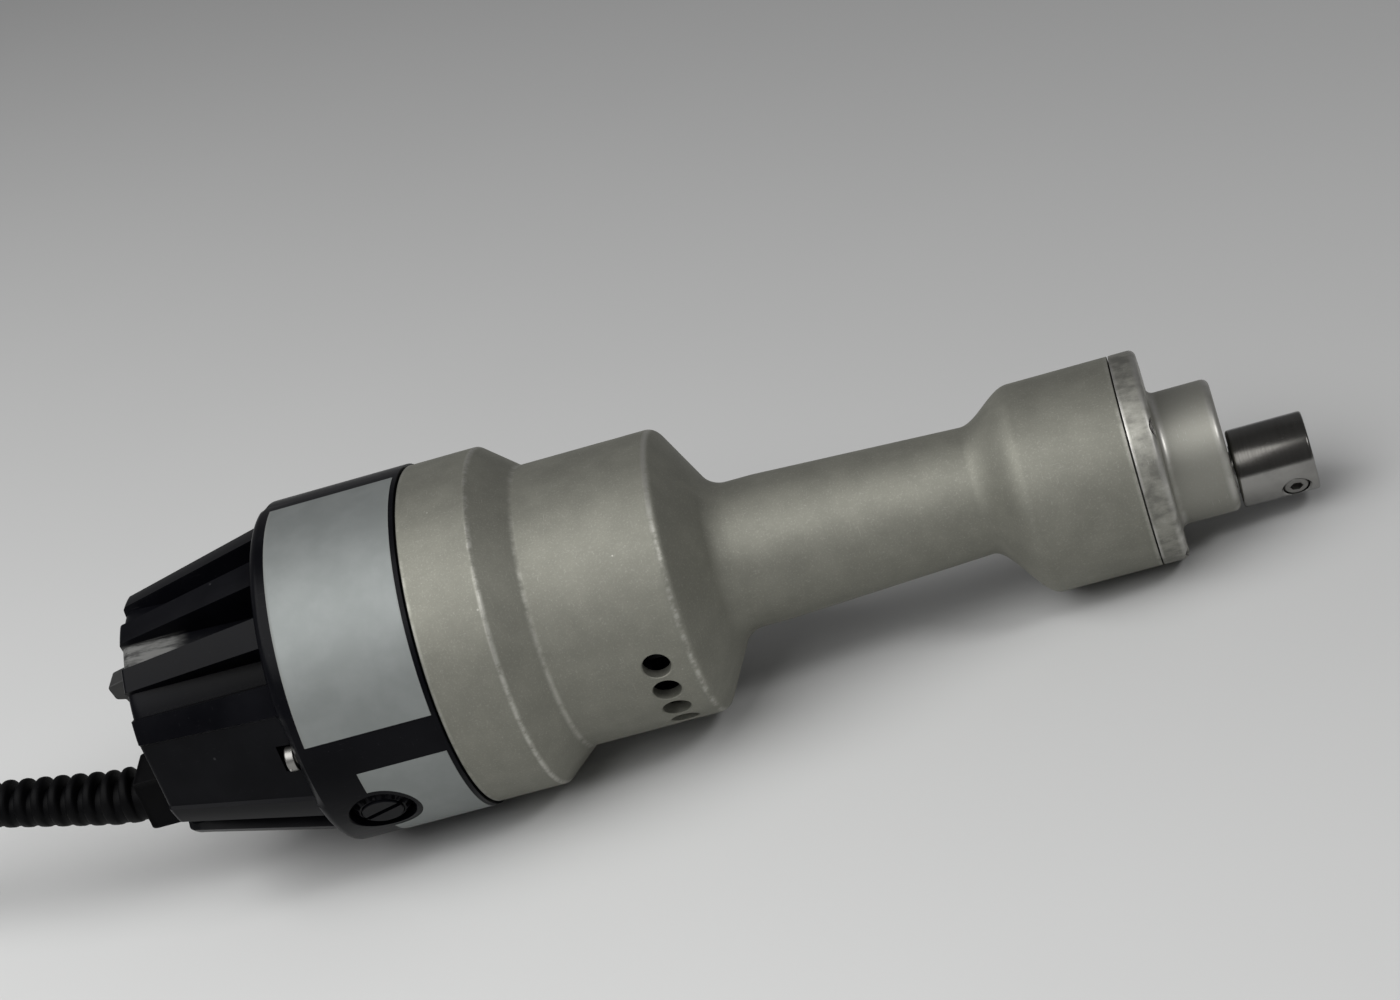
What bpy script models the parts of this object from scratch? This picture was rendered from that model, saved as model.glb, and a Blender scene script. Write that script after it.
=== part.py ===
"""Autopsy saw without its blade: an oscillating saw with a turned aluminium body.

The saw is drawn along its own main axis, X towards the nose, with x = 0 at the joint between
the head and the nose cap. The empty saw_axis then lays it down on the surface z = 0, where it
rests on the motor band's front edge and on the nose flange. Angles around the main axis are
counted from straight up, towards -Y.
"""
import math

import bmesh
import bpy
from mathutils import Vector

MM = 0.001

# Main outline of the aluminium housing, from the nose backwards
HEAD_RADIUS = 22.96 * MM
HEAD_OFFSET = 3.05 * MM
HEAD_LENGTH = 22.0 * MM
HEAD_BLEND_LENGTH = 12.0 * MM
NECK_FRONT_RADIUS = 14.0 * MM
NECK_REAR_RADIUS = 16.2 * MM
NECK_LENGTH = 54.0 * MM
SHOULDER_LENGTH = 11.8 * MM
CYLINDER_RADIUS = 31.67 * MM
CYLINDER_LENGTH = 29.0 * MM
CHAMFER_LENGTH = 8.0 * MM
BAND_STEP = 6.43 * MM
BAND_RADIUS = CYLINDER_RADIUS + BAND_STEP
BAND_LENGTH = 15.5 * MM
EDGE_BREAK = 0.4 * MM
BLEND_STEPS = 6

# Clearances that the fits share
SEAT_GAP = 0.3 * MM
RUNNING_GAP = 0.3 * MM

# Nose cap and its boss
FLANGE_LENGTH = 6.0 * MM
FLANGE_ROUND = 1.5 * MM
SPIGOT_LENGTH = 2.5 * MM
BOSS_OFFSET = 4.79 * MM
BOSS_LENGTH = 13.2 * MM
BOSS_WALL = 2.29 * MM
BOSS_ROUND = 1.6 * MM
BOSS_FILLET = 1.5 * MM

# Spindle and arbor, on their own axis below the main one
SPINDLE_OFFSET = 11.64 * MM
SPINDLE_SHAFT_RADIUS = 4.0 * MM
ARBOR_RADIUS = 8.5 * MM
ARBOR_LENGTH = 15.8 * MM
ARBOR_STANDOFF = 1.2 * MM
ARBOR_REAR_ROUND = 1.2 * MM
ARBOR_CHAMFER = 0.5 * MM
ARBOR_COLLAR_RADIUS = 5.2 * MM
SOCKET_RADIUS = 4.75 * MM
SOCKET_DEPTH = 14.0 * MM
SET_SCREW_RADIUS = 2.6 * MM
SET_SCREW_FROM_TIP = 4.9 * MM
SET_SCREW_ANGLE = math.radians(117)

# Head cavity, eccentric drive and fork
HEAD_WALL = 4.46 * MM
CAVITY_RADIUS = HEAD_RADIUS - HEAD_WALL
CAVITY_DEPTH = 14.0 * MM
ECCENTRICITY = 0.51 * MM
ECCENTRIC_PIN_RADIUS = 2.5 * MM
ECCENTRIC_BEARING_RADIUS = 5.0 * MM
FORK_SIDE_CLEARANCE = 1.35 * MM
FORK_ARM_THICKNESS = 3.0 * MM
FORK_ARM_RISE = 3.5 * MM
FORK_HUB_RADIUS = 7.0 * MM
FORK_WIDTH = 6.0 * MM
FORK_TO_NOSE_CAP = 3.5 * MM

# Bearings: outer radius and width
DRIVE_BEARING_RADIUS = 11.0 * MM
DRIVE_BEARING_WIDTH = 7.0 * MM
MIDDLE_BEARING_RADIUS = 11.0 * MM
MIDDLE_BEARING_WIDTH = 7.0 * MM
REAR_BEARING_RADIUS = 9.5 * MM
REAR_BEARING_WIDTH = 6.0 * MM
SPINDLE_BEARING_RADIUS = 8.0 * MM
SPINDLE_BEARING_WIDTH = 5.0 * MM
BUSH_RADIUS = 5.3 * MM
BUSH_LENGTH = 11.0 * MM
BOSS_RADIUS = SPINDLE_OFFSET - BOSS_OFFSET + BUSH_RADIUS + BOSS_WALL
BEARING_GROOVE = 0.5 * MM

# Motor, from the rear backwards and forwards of the stator's rear face
SHAFT_RADIUS = 4.0 * MM
REAR_JOURNAL_RADIUS = 3.0 * MM
NECK_BORE_RADIUS = 8.0 * MM
HOUSING_WALL = 2.67 * MM
STATOR_RADIUS = CYLINDER_RADIUS - HOUSING_WALL - SEAT_GAP
STATOR_LENGTH = 34.0 * MM
STATOR_INSET = 2.3 * MM
YOKE_THICKNESS = 5.1 * MM
YOKE_INNER_RADIUS = STATOR_RADIUS - YOKE_THICKNESS
COIL_SPACE = 4.8 * MM
POLE_SHOE_RADIUS = YOKE_INNER_RADIUS - COIL_SPACE
POLE_SHOE_THICKNESS = 2.0 * MM
POLE_BORE_RADIUS = POLE_SHOE_RADIUS - POLE_SHOE_THICKNESS
WINDOW_STEPS = 6
POLE_SHOE_ANGLE = math.radians(54)
POLE_NECK_ANGLE = math.radians(27)
COIL_END_LENGTH = 4.5 * MM
COIL_SIDE_ANGLE = math.radians(82)
COIL_NECK_CLEARANCE = math.radians(4)
AIR_GAP = 0.8 * MM
CORE_RADIUS = POLE_BORE_RADIUS - AIR_GAP
CORE_LENGTH = 28.0 * MM
CORE_SLOTS = 12
WINDING_LENGTH = 8.0 * MM
WINDING_DROP = 1.4 * MM
WINDING_RADIUS = CORE_RADIUS - WINDING_DROP
COMMUTATOR_RADIUS = 11.0 * MM
COMMUTATOR_LENGTH = 13.0 * MM
COMMUTATOR_BARS = 18
FAN_CLEARANCE = 2.7 * MM
FAN_RADIUS = STATOR_RADIUS - FAN_CLEARANCE
FAN_HUB_RADIUS = 8.0 * MM
FAN_WIDTH = 8.0 * MM
FAN_DISC = 1.5 * MM
FAN_BLADES = 9
FAN_BLADE_THICKNESS = 1.4 * MM

# Vent holes over the fan, in two groups
VENT_RADIUS = 3.1 * MM
VENT_COUNT = 5
VENT_PITCH = math.radians(13.5)
VENT_CENTRE_ANGLE = math.radians(121.5)
VENT_FROM_SHOULDER = 6.7 * MM

# Rear cap: band, rounded step, ribbed cone and end plate
CAP_JOINT = 0.3 * MM
CAP_OVERHANG = 0.5 * MM
CAP_RADIUS = BAND_RADIUS + CAP_OVERHANG
CAP_BAND_LENGTH = 31.0 * MM
CAP_STEP_LENGTH = 4.4 * MM
CAP_STEP_DEPTH = 3.4 * MM
CAP_CONE_FRONT_RADIUS = CAP_RADIUS - CAP_STEP_DEPTH
CAP_CONE_TAPER = 8.0 * MM
CAP_CONE_REAR_RADIUS = CAP_CONE_FRONT_RADIUS - CAP_CONE_TAPER
CAP_CONE_LENGTH = 35.0 * MM
CAP_END_ROUND = 2.7 * MM
CAP_BAND_WALL = 6.1 * MM
CAP_BAND_INNER_RADIUS = CAP_RADIUS - CAP_BAND_WALL
CAP_WALL = 3.0 * MM
CAP_RIBS = 15
CAP_PANELS = 3
RIB_HALF_ANGLE = math.radians(5.5)
PANEL_DROP = 0.8 * MM
PANEL_EDGE_ANGLE = math.radians(0.9)
PAD_SHARE = 0.75
FIRST_PANEL_ANGLE = math.radians(90)
SLOT_END_MARGIN = 1.6 * MM

# Bracket that carries the rear bearing and the brush holders
BRACKET_RADIUS = STATOR_RADIUS
BRACKET_WALL = 2.3 * MM
BRACKET_END_THICKNESS = 4.0 * MM
BRACKET_END_FROM_STEP = 7.2 * MM
BRACKET_HUB_RADIUS = 12.5 * MM
BRACKET_WINDOW_INNER_RADIUS = 14.0 * MM
BRACKET_RIM = 4.2 * MM
BRACKET_WINDOW_OUTER_RADIUS = BRACKET_RADIUS - BRACKET_RIM
BRACKET_WINDOW_HALF_ANGLE = math.radians(40)

# Long screws that draw the rear cap to the housing, sunk in the step at the panels
CAP_SCREW_INSET = 5.4 * MM
CAP_SCREW_CIRCLE = CAP_RADIUS - CAP_SCREW_INSET
CAP_SCREW_RADIUS = 1.5 * MM
CAP_SCREW_HEAD_RADIUS = 2.8 * MM
CAP_SCREW_HEAD_HEIGHT = 2.0 * MM
CAP_SCREW_SEAT_DEPTH = 2.1 * MM
CAP_SCREW_GRIP = 7.0 * MM
CAP_SCOOP_RADIUS = 3.4 * MM
CAP_SCOOP_LENGTH = 4.0 * MM

# Brush gear
BRUSH_ANGLE = math.radians(119)
BRUSH_FROM_CAP_FRONT = 20.8 * MM
BRUSH_RECESS_RADIUS = 7.3 * MM
BRUSH_RECESS_DEPTH = 3.7 * MM
BRUSH_CAP_RADIUS = 6.9 * MM
BRUSH_CAP_TOP_RADIUS = 4.7 * MM
BRUSH_CAP_SLOT_WIDTH = 1.3 * MM
BRUSH_CAP_SLOT_DEPTH = 1.2 * MM
HOLDER_RADIUS = 4.5 * MM
HOLDER_STANDOFF = 2.0 * MM
BRUSH_WIDTH = 5.4 * MM
BRUSH_THICKNESS = 4.0 * MM
BRUSH_LENGTH = 13.0 * MM
SPRING_RADIUS = 1.7 * MM
SPRING_WIRE_RADIUS = 0.3 * MM
SPRING_TURNS = 5

# Rocker switch in the end plate
SWITCH_HEIGHT = 6.0 * MM
ROCKER_LENGTH = 14.0 * MM
ROCKER_WIDTH = 6.0 * MM
SWITCH_END_ROOM = 2.4 * MM
SWITCH_SIDE_WALL = 1.5 * MM
SWITCH_BODY_LENGTH = ROCKER_LENGTH + 2 * SWITCH_END_ROOM
SWITCH_BODY_WIDTH = ROCKER_WIDTH + 2 * SWITCH_SIDE_WALL
SWITCH_BODY_DEPTH = 15.0 * MM
BEZEL_END_RIM = 1.1 * MM
BEZEL_SIDE_RIM = 0.7 * MM
BEZEL_LENGTH = SWITCH_BODY_LENGTH + 2 * BEZEL_END_RIM
BEZEL_WIDTH = SWITCH_BODY_WIDTH + 2 * BEZEL_SIDE_RIM
BEZEL_THICKNESS = 1.0 * MM
ROCKER_PIVOT_DEPTH = 3.5 * MM
ROCKER_TIP_RISE = 6.5 * MM
ROCKER_VALLEY_RISE = 4.6 * MM
ROCKER_LAND = 2.2 * MM
ROCKER_SKIRT = 2.8 * MM
ROCKER_DRUM_RADIUS = 2.0 * MM
ROCKER_TILT = math.radians(12)
SWITCH_POCKET_DEPTH = 8.2 * MM

# Strain relief
RELIEF_FROM_EDGE = 8.4 * MM
RELIEF_DROP = CAP_CONE_REAR_RADIUS - RELIEF_FROM_EDGE
RELIEF_NECK_LIFT = 1.8 * MM
RELIEF_NECK_DROP = RELIEF_DROP - RELIEF_NECK_LIFT
RELIEF_LENGTH = 56.0 * MM
COLLAR_LENGTH = 8.0 * MM
COLLAR_HALF_WIDTH = 7.0 * MM
COLLAR_EDGE = 1.0 * MM
ROUND_POWER = 2
SQUARE_POWER = 8
ROUNDED_SQUARE_POWER = 6
RELIEF_NECK_RADIUS = 5.0 * MM
RELIEF_FLANGE_RADIUS = 6.2 * MM
RELIEF_FLANGE_LENGTH = 2.5 * MM
RELIEF_FRONT_RADIUS = 6.5 * MM
RELIEF_REAR_RADIUS = 5.1 * MM
RELIEF_RIB_PITCH = 4.35 * MM
RELIEF_RIB_WIDTH = 2.2 * MM
RELIEF_RIB_SLOPE = 0.15 * MM
RELIEF_GROOVE_DEPTH = 1.0 * MM
RELIEF_SPINE_SHIFT = 0.8 * MM
RELIEF_SPINE_ANGLE = math.radians(150)
RELIEF_YAW = math.radians(13)
RELIEF_PITCH = math.radians(4.5)
RELIEF_BEND_LENGTH = 10.0 * MM

# Mains cord, its coil on the surface and its plug on the coil
CORD_RADIUS = 4.0 * MM
CORD_BEND_RADIUS = 45.0 * MM
CORD_RUN = 108.0 * MM
COIL_MIDDLE_RADIUS = 43.0 * MM
COIL_LAYERS = 3
COIL_SIDES = 28
CORD_PITCH = 8.2 * MM
TAIL_CROSSING_ANGLE = math.radians(120)
TAIL_ARC_RADIUS = 36.0 * MM
TAIL_STRAIGHT = 8.0 * MM
PLUG_RADIUS = 14.0 * MM
PLUG_LENGTH = 36.0 * MM
PLUG_RELIEF_LENGTH = 14.0 * MM
PLUG_RELIEF_WALL = 1.0 * MM
PLUG_SHOULDER_LENGTH = 6.0 * MM
PLUG_TAPER_LENGTH = 7.0 * MM
PLUG_GRIP_DEPTH = 3.0 * MM
PLUG_FACE_LENGTH = 6.0 * MM
PLUG_EDGE = 1.0 * MM
BLADE_LENGTH = 17.0 * MM
BLADE_WIDTH = 6.3 * MM
BLADE_THICKNESS = 1.5 * MM
BLADE_SPACING = 12.7 * MM
BLADE_RISE = 2.0 * MM
GROUND_PIN_RADIUS = 2.4 * MM
GROUND_PIN_LENGTH = 20.0 * MM
GROUND_PIN_OFFSET = 8.0 * MM

# Screws of the nose cap
NOSE_SCREW_COUNT = 4
NOSE_SCREW_RADIUS = 1.25 * MM
NOSE_SCREW_HEAD_RADIUS = 2.3 * MM
NOSE_SCREW_HEAD_DEPTH = 1.3 * MM
NOSE_SCREW_GRIP = 7.0 * MM
NOSE_SCREW_GAP = 0.2 * MM

# Facets around the round pieces
BODY_SIDES = 40
NOSE_SIDES = 36
SPINDLE_SIDES = 24
INNER_SIDES = 18
SMALL_SIDES = 14

# Stations along the main axis, from the nose to the end plate
X_HEAD_REAR = -HEAD_LENGTH
X_NECK_FRONT = X_HEAD_REAR - HEAD_BLEND_LENGTH
X_NECK_REAR = X_NECK_FRONT - NECK_LENGTH
X_CYLINDER_FRONT = X_NECK_REAR - SHOULDER_LENGTH
X_CYLINDER_REAR = X_CYLINDER_FRONT - CYLINDER_LENGTH
X_BAND_FRONT = X_CYLINDER_REAR - CHAMFER_LENGTH
X_BAND_REAR = X_BAND_FRONT - BAND_LENGTH
X_CAP_FRONT = X_BAND_REAR - CAP_JOINT
X_STEP_FRONT = X_CAP_FRONT - CAP_BAND_LENGTH
X_CONE_FRONT = X_STEP_FRONT - CAP_STEP_LENGTH
X_CONE_REAR = X_CONE_FRONT - CAP_CONE_LENGTH
X_CAP_REAR = X_CONE_REAR - CAP_END_ROUND
X_PLATE_INNER = X_CAP_REAR + CAP_WALL

X_BOSS_FRONT = FLANGE_LENGTH + BOSS_LENGTH
X_ARBOR_REAR = X_BOSS_FRONT + ARBOR_STANDOFF
X_ARBOR_TIP = X_ARBOR_REAR + ARBOR_LENGTH
X_FORK_FRONT = -SPIGOT_LENGTH - FORK_TO_NOSE_CAP
X_FORK_REAR = X_FORK_FRONT - FORK_WIDTH

X_DRIVE_BEARING_FRONT = -CAVITY_DEPTH - SEAT_GAP
X_DRIVE_BEARING_REAR = X_DRIVE_BEARING_FRONT - DRIVE_BEARING_WIDTH
X_MIDDLE_BEARING_FRONT = X_NECK_REAR - SEAT_GAP
X_MIDDLE_BEARING_REAR = X_MIDDLE_BEARING_FRONT - MIDDLE_BEARING_WIDTH
X_STATOR_REAR = X_BAND_REAR + STATOR_INSET
X_STATOR_FRONT = X_STATOR_REAR + STATOR_LENGTH
X_MOTOR_CENTRE = (X_STATOR_REAR + X_STATOR_FRONT) / 2
X_VENTS = X_CYLINDER_FRONT - VENT_FROM_SHOULDER
X_FAN_REAR = X_VENTS - FAN_WIDTH / 2
X_BRUSH = X_CAP_FRONT - BRUSH_FROM_CAP_FRONT
X_BRACKET_END = X_STEP_FRONT - BRACKET_END_FROM_STEP
X_REAR_BEARING = X_BRACKET_END - REAR_BEARING_WIDTH

STATOR_BORE = STATOR_RADIUS + SEAT_GAP


def around(radius, angle):
    """A point at an angle around the main axis, as (y, z)."""
    return -radius * math.sin(angle), radius * math.cos(angle)


def outward(angle):
    """The direction away from the main axis at an angle."""
    return Vector((0.0, -math.sin(angle), math.cos(angle)))


def smoothstep(share):
    return share * share * (3 - 2 * share)


def mix(first, second, share):
    return first + (second - first) * share


def clear_scene():
    for item in list(bpy.data.objects):
        bpy.data.objects.remove(item, do_unlink=True)


def material(name, colour, metallic, roughness):
    """One Principled material for each finish, made once."""
    found = bpy.data.materials.get(name)
    if found:
        return found
    made = bpy.data.materials.new(name)
    made.use_nodes = True
    shader = made.node_tree.nodes["Principled BSDF"]
    shader.inputs["Base Color"].default_value = (*colour, 1.0)
    shader.inputs["Metallic"].default_value = metallic
    shader.inputs["Roughness"].default_value = roughness
    return made


def cast_aluminium():
    return material("cast_aluminium", (0.55, 0.54, 0.50), 0.9, 0.45)


def polished_steel():
    return material("polished_steel", (0.62, 0.62, 0.62), 1.0, 0.15)


def dark_steel():
    return material("dark_steel", (0.22, 0.22, 0.23), 1.0, 0.4)


def bearing_steel():
    return material("bearing_steel", (0.5, 0.5, 0.5), 1.0, 0.25)


def black_plastic():
    return material("black_plastic", (0.03, 0.03, 0.035), 0.0, 0.35)


def black_rubber():
    return material("black_rubber", (0.02, 0.02, 0.02), 0.0, 0.6)


def copper():
    return material("copper", (0.72, 0.33, 0.16), 1.0, 0.35)


def brass():
    return material("brass", (0.75, 0.55, 0.25), 1.0, 0.3)


def carbon():
    return material("carbon", (0.04, 0.04, 0.045), 0.0, 0.7)


def lamination_steel():
    return material("lamination_steel", (0.32, 0.32, 0.34), 0.8, 0.5)


def add_object(name, bm, finish, parent=None, location=(0, 0, 0), smooth_angle=35):
    """Turns a closed bmesh into a smooth-shaded object with its own material."""
    bmesh.ops.recalc_face_normals(bm, faces=bm.faces)
    mesh = bpy.data.meshes.new(name)
    bm.to_mesh(mesh)
    bm.free()
    mesh.shade_smooth()
    mesh.set_sharp_from_angle(angle=math.radians(smooth_angle))
    made = bpy.data.objects.new(name, mesh)
    bpy.context.collection.objects.link(made)
    made.location = location
    made.parent = parent
    if finish is not None:
        mesh.materials.append(finish)
    return made


def add_empty(name, parent=None, location=(0, 0, 0)):
    made = bpy.data.objects.new(name, None)
    bpy.context.collection.objects.link(made)
    made.parent = parent
    made.location = location
    return made


def aim(item, direction):
    """Turns an object so that its local X points along a direction."""
    item.rotation_mode = "QUATERNION"
    item.rotation_quaternion = Vector(direction).to_track_quat("X", "Z")
    return item


def combine(target, other, operation):
    """Adds an exact Boolean and keeps the other shape as a wire guide."""
    other.hide_render = True
    other.display_type = "WIRE"
    step = target.modifiers.new(other.name, "BOOLEAN")
    step.operation = operation
    step.solver = "EXACT"
    step.object = other
    return target


def cut(target, cutter):
    return combine(target, cutter, "DIFFERENCE")


def skin_rings(bm, loops, through):
    """Joins neighbouring rings with quads; the ends are closed, or joined when through is set."""
    pairs = list(zip(loops, loops[1:]))
    if through:
        pairs.append((loops[-1], loops[0]))
    for first, second in pairs:
        for i in range(len(first)):
            j = (i + 1) % len(first)
            bm.faces.new((first[i], first[j], second[j], second[i]))
    if not through:
        bm.faces.new(loops[0])
        bm.faces.new(loops[-1])


def ring_bm(rings, sides, through=False, lobe_depth=0.0):
    """A turned form from rings of (x, radius, drop of the centre below the axis)."""
    bm = bmesh.new()
    loops = []
    for x, radius, drop in rings:
        loop = []
        for i in range(sides):
            lobe = lobe_depth if i % 2 and radius > 10 * lobe_depth else 0.0
            y, z = around(radius - lobe, 2 * math.pi * i / sides)
            loop.append(bm.verts.new((x, y, z - drop)))
        loops.append(loop)
    skin_rings(bm, loops, through)
    return bm


def turned(name, rings, finish, parent, sides=INNER_SIDES, through=False, lobe_depth=0.0):
    return add_object(name, ring_bm(rings, sides, through, lobe_depth), finish, parent)


def edge_round(x, radius, size, drop, facing, steps=3):
    """Rings of a rounded outer edge, from its flat face at x out to its side; facing is +1 or -1."""
    rings = []
    for k in range(steps + 1):
        turn = math.pi / 2 * k / steps
        rings.append((x - facing * size * (1 - math.cos(turn)), radius - size + size * math.sin(turn), drop))
    return rings


def blend(x0, x1, radius0, radius1, drop0, drop1):
    """Rings of an S-shaped passage between two round sections."""
    rings = []
    for k in range(BLEND_STEPS + 1):
        share = k / BLEND_STEPS
        swell = smoothstep(share)
        rings.append((mix(x0, x1, share), mix(radius0, radius1, swell), mix(drop0, drop1, swell)))
    return rings


def prism_bm(outline, x0, x1):
    """An outline of (y, z) points extruded along X."""
    bm = bmesh.new()
    loops = [[bm.verts.new((x, y, z)) for y, z in outline] for x in (x0, x1)]
    skin_rings(bm, loops, through=False)
    return bm


def box_bm(low, high, bm=None):
    """A box between two corners, added to a bmesh."""
    bm = bm or bmesh.new()
    corners = [bm.verts.new((x, y, z)) for x in (low[0], high[0]) for y in (low[1], high[1])
               for z in (low[2], high[2])]
    for face in ((0, 1, 3, 2), (4, 6, 7, 5), (0, 4, 5, 1), (2, 3, 7, 6), (0, 2, 6, 4), (1, 5, 7, 3)):
        bm.faces.new([corners[i] for i in face])
    return bm


def rod_bm(start, direction, radius, length, sides, bm=None):
    """A plain rod from a start point along a direction, added to a bmesh."""
    bm = bm or bmesh.new()
    turn = Vector(direction).to_track_quat("X", "Z")
    loops = []
    for x in (0.0, length):
        loop = []
        for i in range(sides):
            y, z = around(radius, 2 * math.pi * i / sides)
            loop.append(bm.verts.new(Vector(start) + turn @ Vector((x, y, z))))
        loops.append(loop)
    skin_rings(bm, loops, through=False)
    return bm


def stepped_hole(bm, place, direction, steps, sides):
    """A stepped round cutter from (reach, radius) pairs along a direction, added to a bmesh."""
    turn = Vector(direction).to_track_quat("X", "Z")
    loops = []
    for reach, radius in steps:
        ring = [around(radius, 2 * math.pi * i / sides) for i in range(sides)]
        loops.append([bm.verts.new(Vector(place) + turn @ Vector((reach, y, z))) for y, z in ring])
    skin_rings(bm, loops, through=False)


def toothed_outline(count, tip_radius, root_radius, tip_share, mouth_share):
    """Outline of a slotted drum: each tooth has a wide tip and a slot that narrows at its mouth."""
    points = []
    pitch = 2 * math.pi / count
    neck_radius = tip_radius - 0.12 * (tip_radius - root_radius)
    for k in range(count):
        centre = k * pitch
        tip = pitch * tip_share / 2
        neck = pitch * mouth_share / 2
        for radius, turn in ((root_radius, -neck), (neck_radius, -neck), (tip_radius, -tip),
                             (tip_radius, tip), (neck_radius, neck), (root_radius, neck)):
            points.append(around(radius, centre + turn))
    return points


def sheet_bm(columns, stations, outer, inner, present, wrap, cap_end=False):
    """A thick curved sheet of cells, with cells left out for its openings.

    outer and inner place the two surfaces at a column angle and a station, and present says
    whether the cell behind a column and a station is there. cap_end closes the last station.
    """
    bm = bmesh.new()
    made = {}
    last = len(columns) if wrap else len(columns) - 1

    def vertex(side, i, j):
        i %= len(columns)
        if (side, i, j) not in made:
            place = outer if side else inner
            made[side, i, j] = bm.verts.new(place(columns[i], stations[j]))
        return made[side, i, j]

    def there(i, j):
        if wrap:
            i %= last
        return 0 <= i < last and 0 <= j < len(stations) - 1 and present(i, j)

    for i in range(last):
        for j in range(len(stations) - 1):
            if not there(i, j):
                continue
            for side in (True, False):
                bm.faces.new([vertex(side, *at) for at in ((i, j), (i + 1, j), (i + 1, j + 1), (i, j + 1))])
            edges = (((i, j - 1), (i, j), (i + 1, j)), ((i, j + 1), (i, j + 1), (i + 1, j + 1)),
                     ((i - 1, j), (i, j), (i, j + 1)), ((i + 1, j), (i + 1, j), (i + 1, j + 1)))
            for neighbour, start, end in edges:
                closed_end = cap_end and neighbour[1] == len(stations) - 1
                if not there(*neighbour) and not closed_end:
                    bm.faces.new((vertex(True, *start), vertex(True, *end), vertex(False, *end),
                                  vertex(False, *start)))
    if cap_end:
        end = len(stations) - 1
        for side in (True, False):
            bm.faces.new([vertex(side, i, end) for i in range(last)])
    return bm


def bearing(name, x, outer_radius, bore_radius, width, parent, drop=0.0):
    """A ball bearing from x forwards: one ring with the shield groove on both faces."""
    groove_outer = mix(bore_radius, outer_radius, 0.72)
    groove_inner = mix(bore_radius, outer_radius, 0.3)
    front = x + width
    rings = [(x, outer_radius, drop), (front, outer_radius, drop), (front, groove_outer, drop),
             (front - BEARING_GROOVE, groove_outer, drop), (front - BEARING_GROOVE, groove_inner, drop),
             (front, groove_inner, drop), (front, bore_radius, drop), (x, bore_radius, drop)]
    return turned(name, rings, bearing_steel(), parent, through=True)


def motor_housing(saw):
    """The aluminium casting: outside from the head back to the band, inside back to the head."""
    outside = edge_round(0, HEAD_RADIUS, EDGE_BREAK, HEAD_OFFSET, +1, steps=1)
    outside += blend(X_HEAD_REAR, X_NECK_FRONT, HEAD_RADIUS, NECK_FRONT_RADIUS, HEAD_OFFSET, 0)
    outside += blend(X_NECK_REAR, X_CYLINDER_FRONT, NECK_REAR_RADIUS, CYLINDER_RADIUS, 0, 0)
    outside += [(X_CYLINDER_REAR, CYLINDER_RADIUS, 0), (X_BAND_FRONT, BAND_RADIUS, 0)]
    outside += reversed(edge_round(X_BAND_REAR, BAND_RADIUS, EDGE_BREAK, 0, -1, steps=1))
    seat_rear = X_MIDDLE_BEARING_REAR - SEAT_GAP
    bore_front = X_VENTS + VENT_RADIUS + RUNNING_GAP
    middle_seat = MIDDLE_BEARING_RADIUS + SEAT_GAP
    drive_seat = DRIVE_BEARING_RADIUS + SEAT_GAP
    drive_seat_rear = X_DRIVE_BEARING_REAR - SEAT_GAP
    inside = [
        (X_BAND_REAR, STATOR_BORE, 0), (bore_front, STATOR_BORE, 0),
        (mix(bore_front, seat_rear, 0.75), mix(STATOR_BORE, middle_seat, 0.62), 0),
        (seat_rear, middle_seat, 0),
        (X_NECK_REAR, middle_seat, 0), (X_NECK_REAR, NECK_BORE_RADIUS, 0),
        (drive_seat_rear, NECK_BORE_RADIUS, 0), (drive_seat_rear, drive_seat, 0),
        (-CAVITY_DEPTH, drive_seat, 0), (-CAVITY_DEPTH, CAVITY_RADIUS, HEAD_OFFSET),
        (0, CAVITY_RADIUS, HEAD_OFFSET),
    ]
    housing = turned("motor_housing", outside + inside, cast_aluminium(), saw, BODY_SIDES, through=True)
    vents = bmesh.new()
    for k in range(VENT_COUNT):
        for side in (0, math.pi):
            angle = VENT_CENTRE_ANGLE + (k - (VENT_COUNT - 1) / 2) * VENT_PITCH + side
            y, z = around(STATOR_BORE - 2 * VENT_RADIUS, angle)
            rod_bm((X_VENTS, y, z), outward(angle), VENT_RADIUS, CYLINDER_RADIUS - STATOR_BORE + 4 * VENT_RADIUS,
                   SMALL_SIDES, vents)
    cut(housing, add_object("vent_cutter", vents, None, saw))
    return housing


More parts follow.
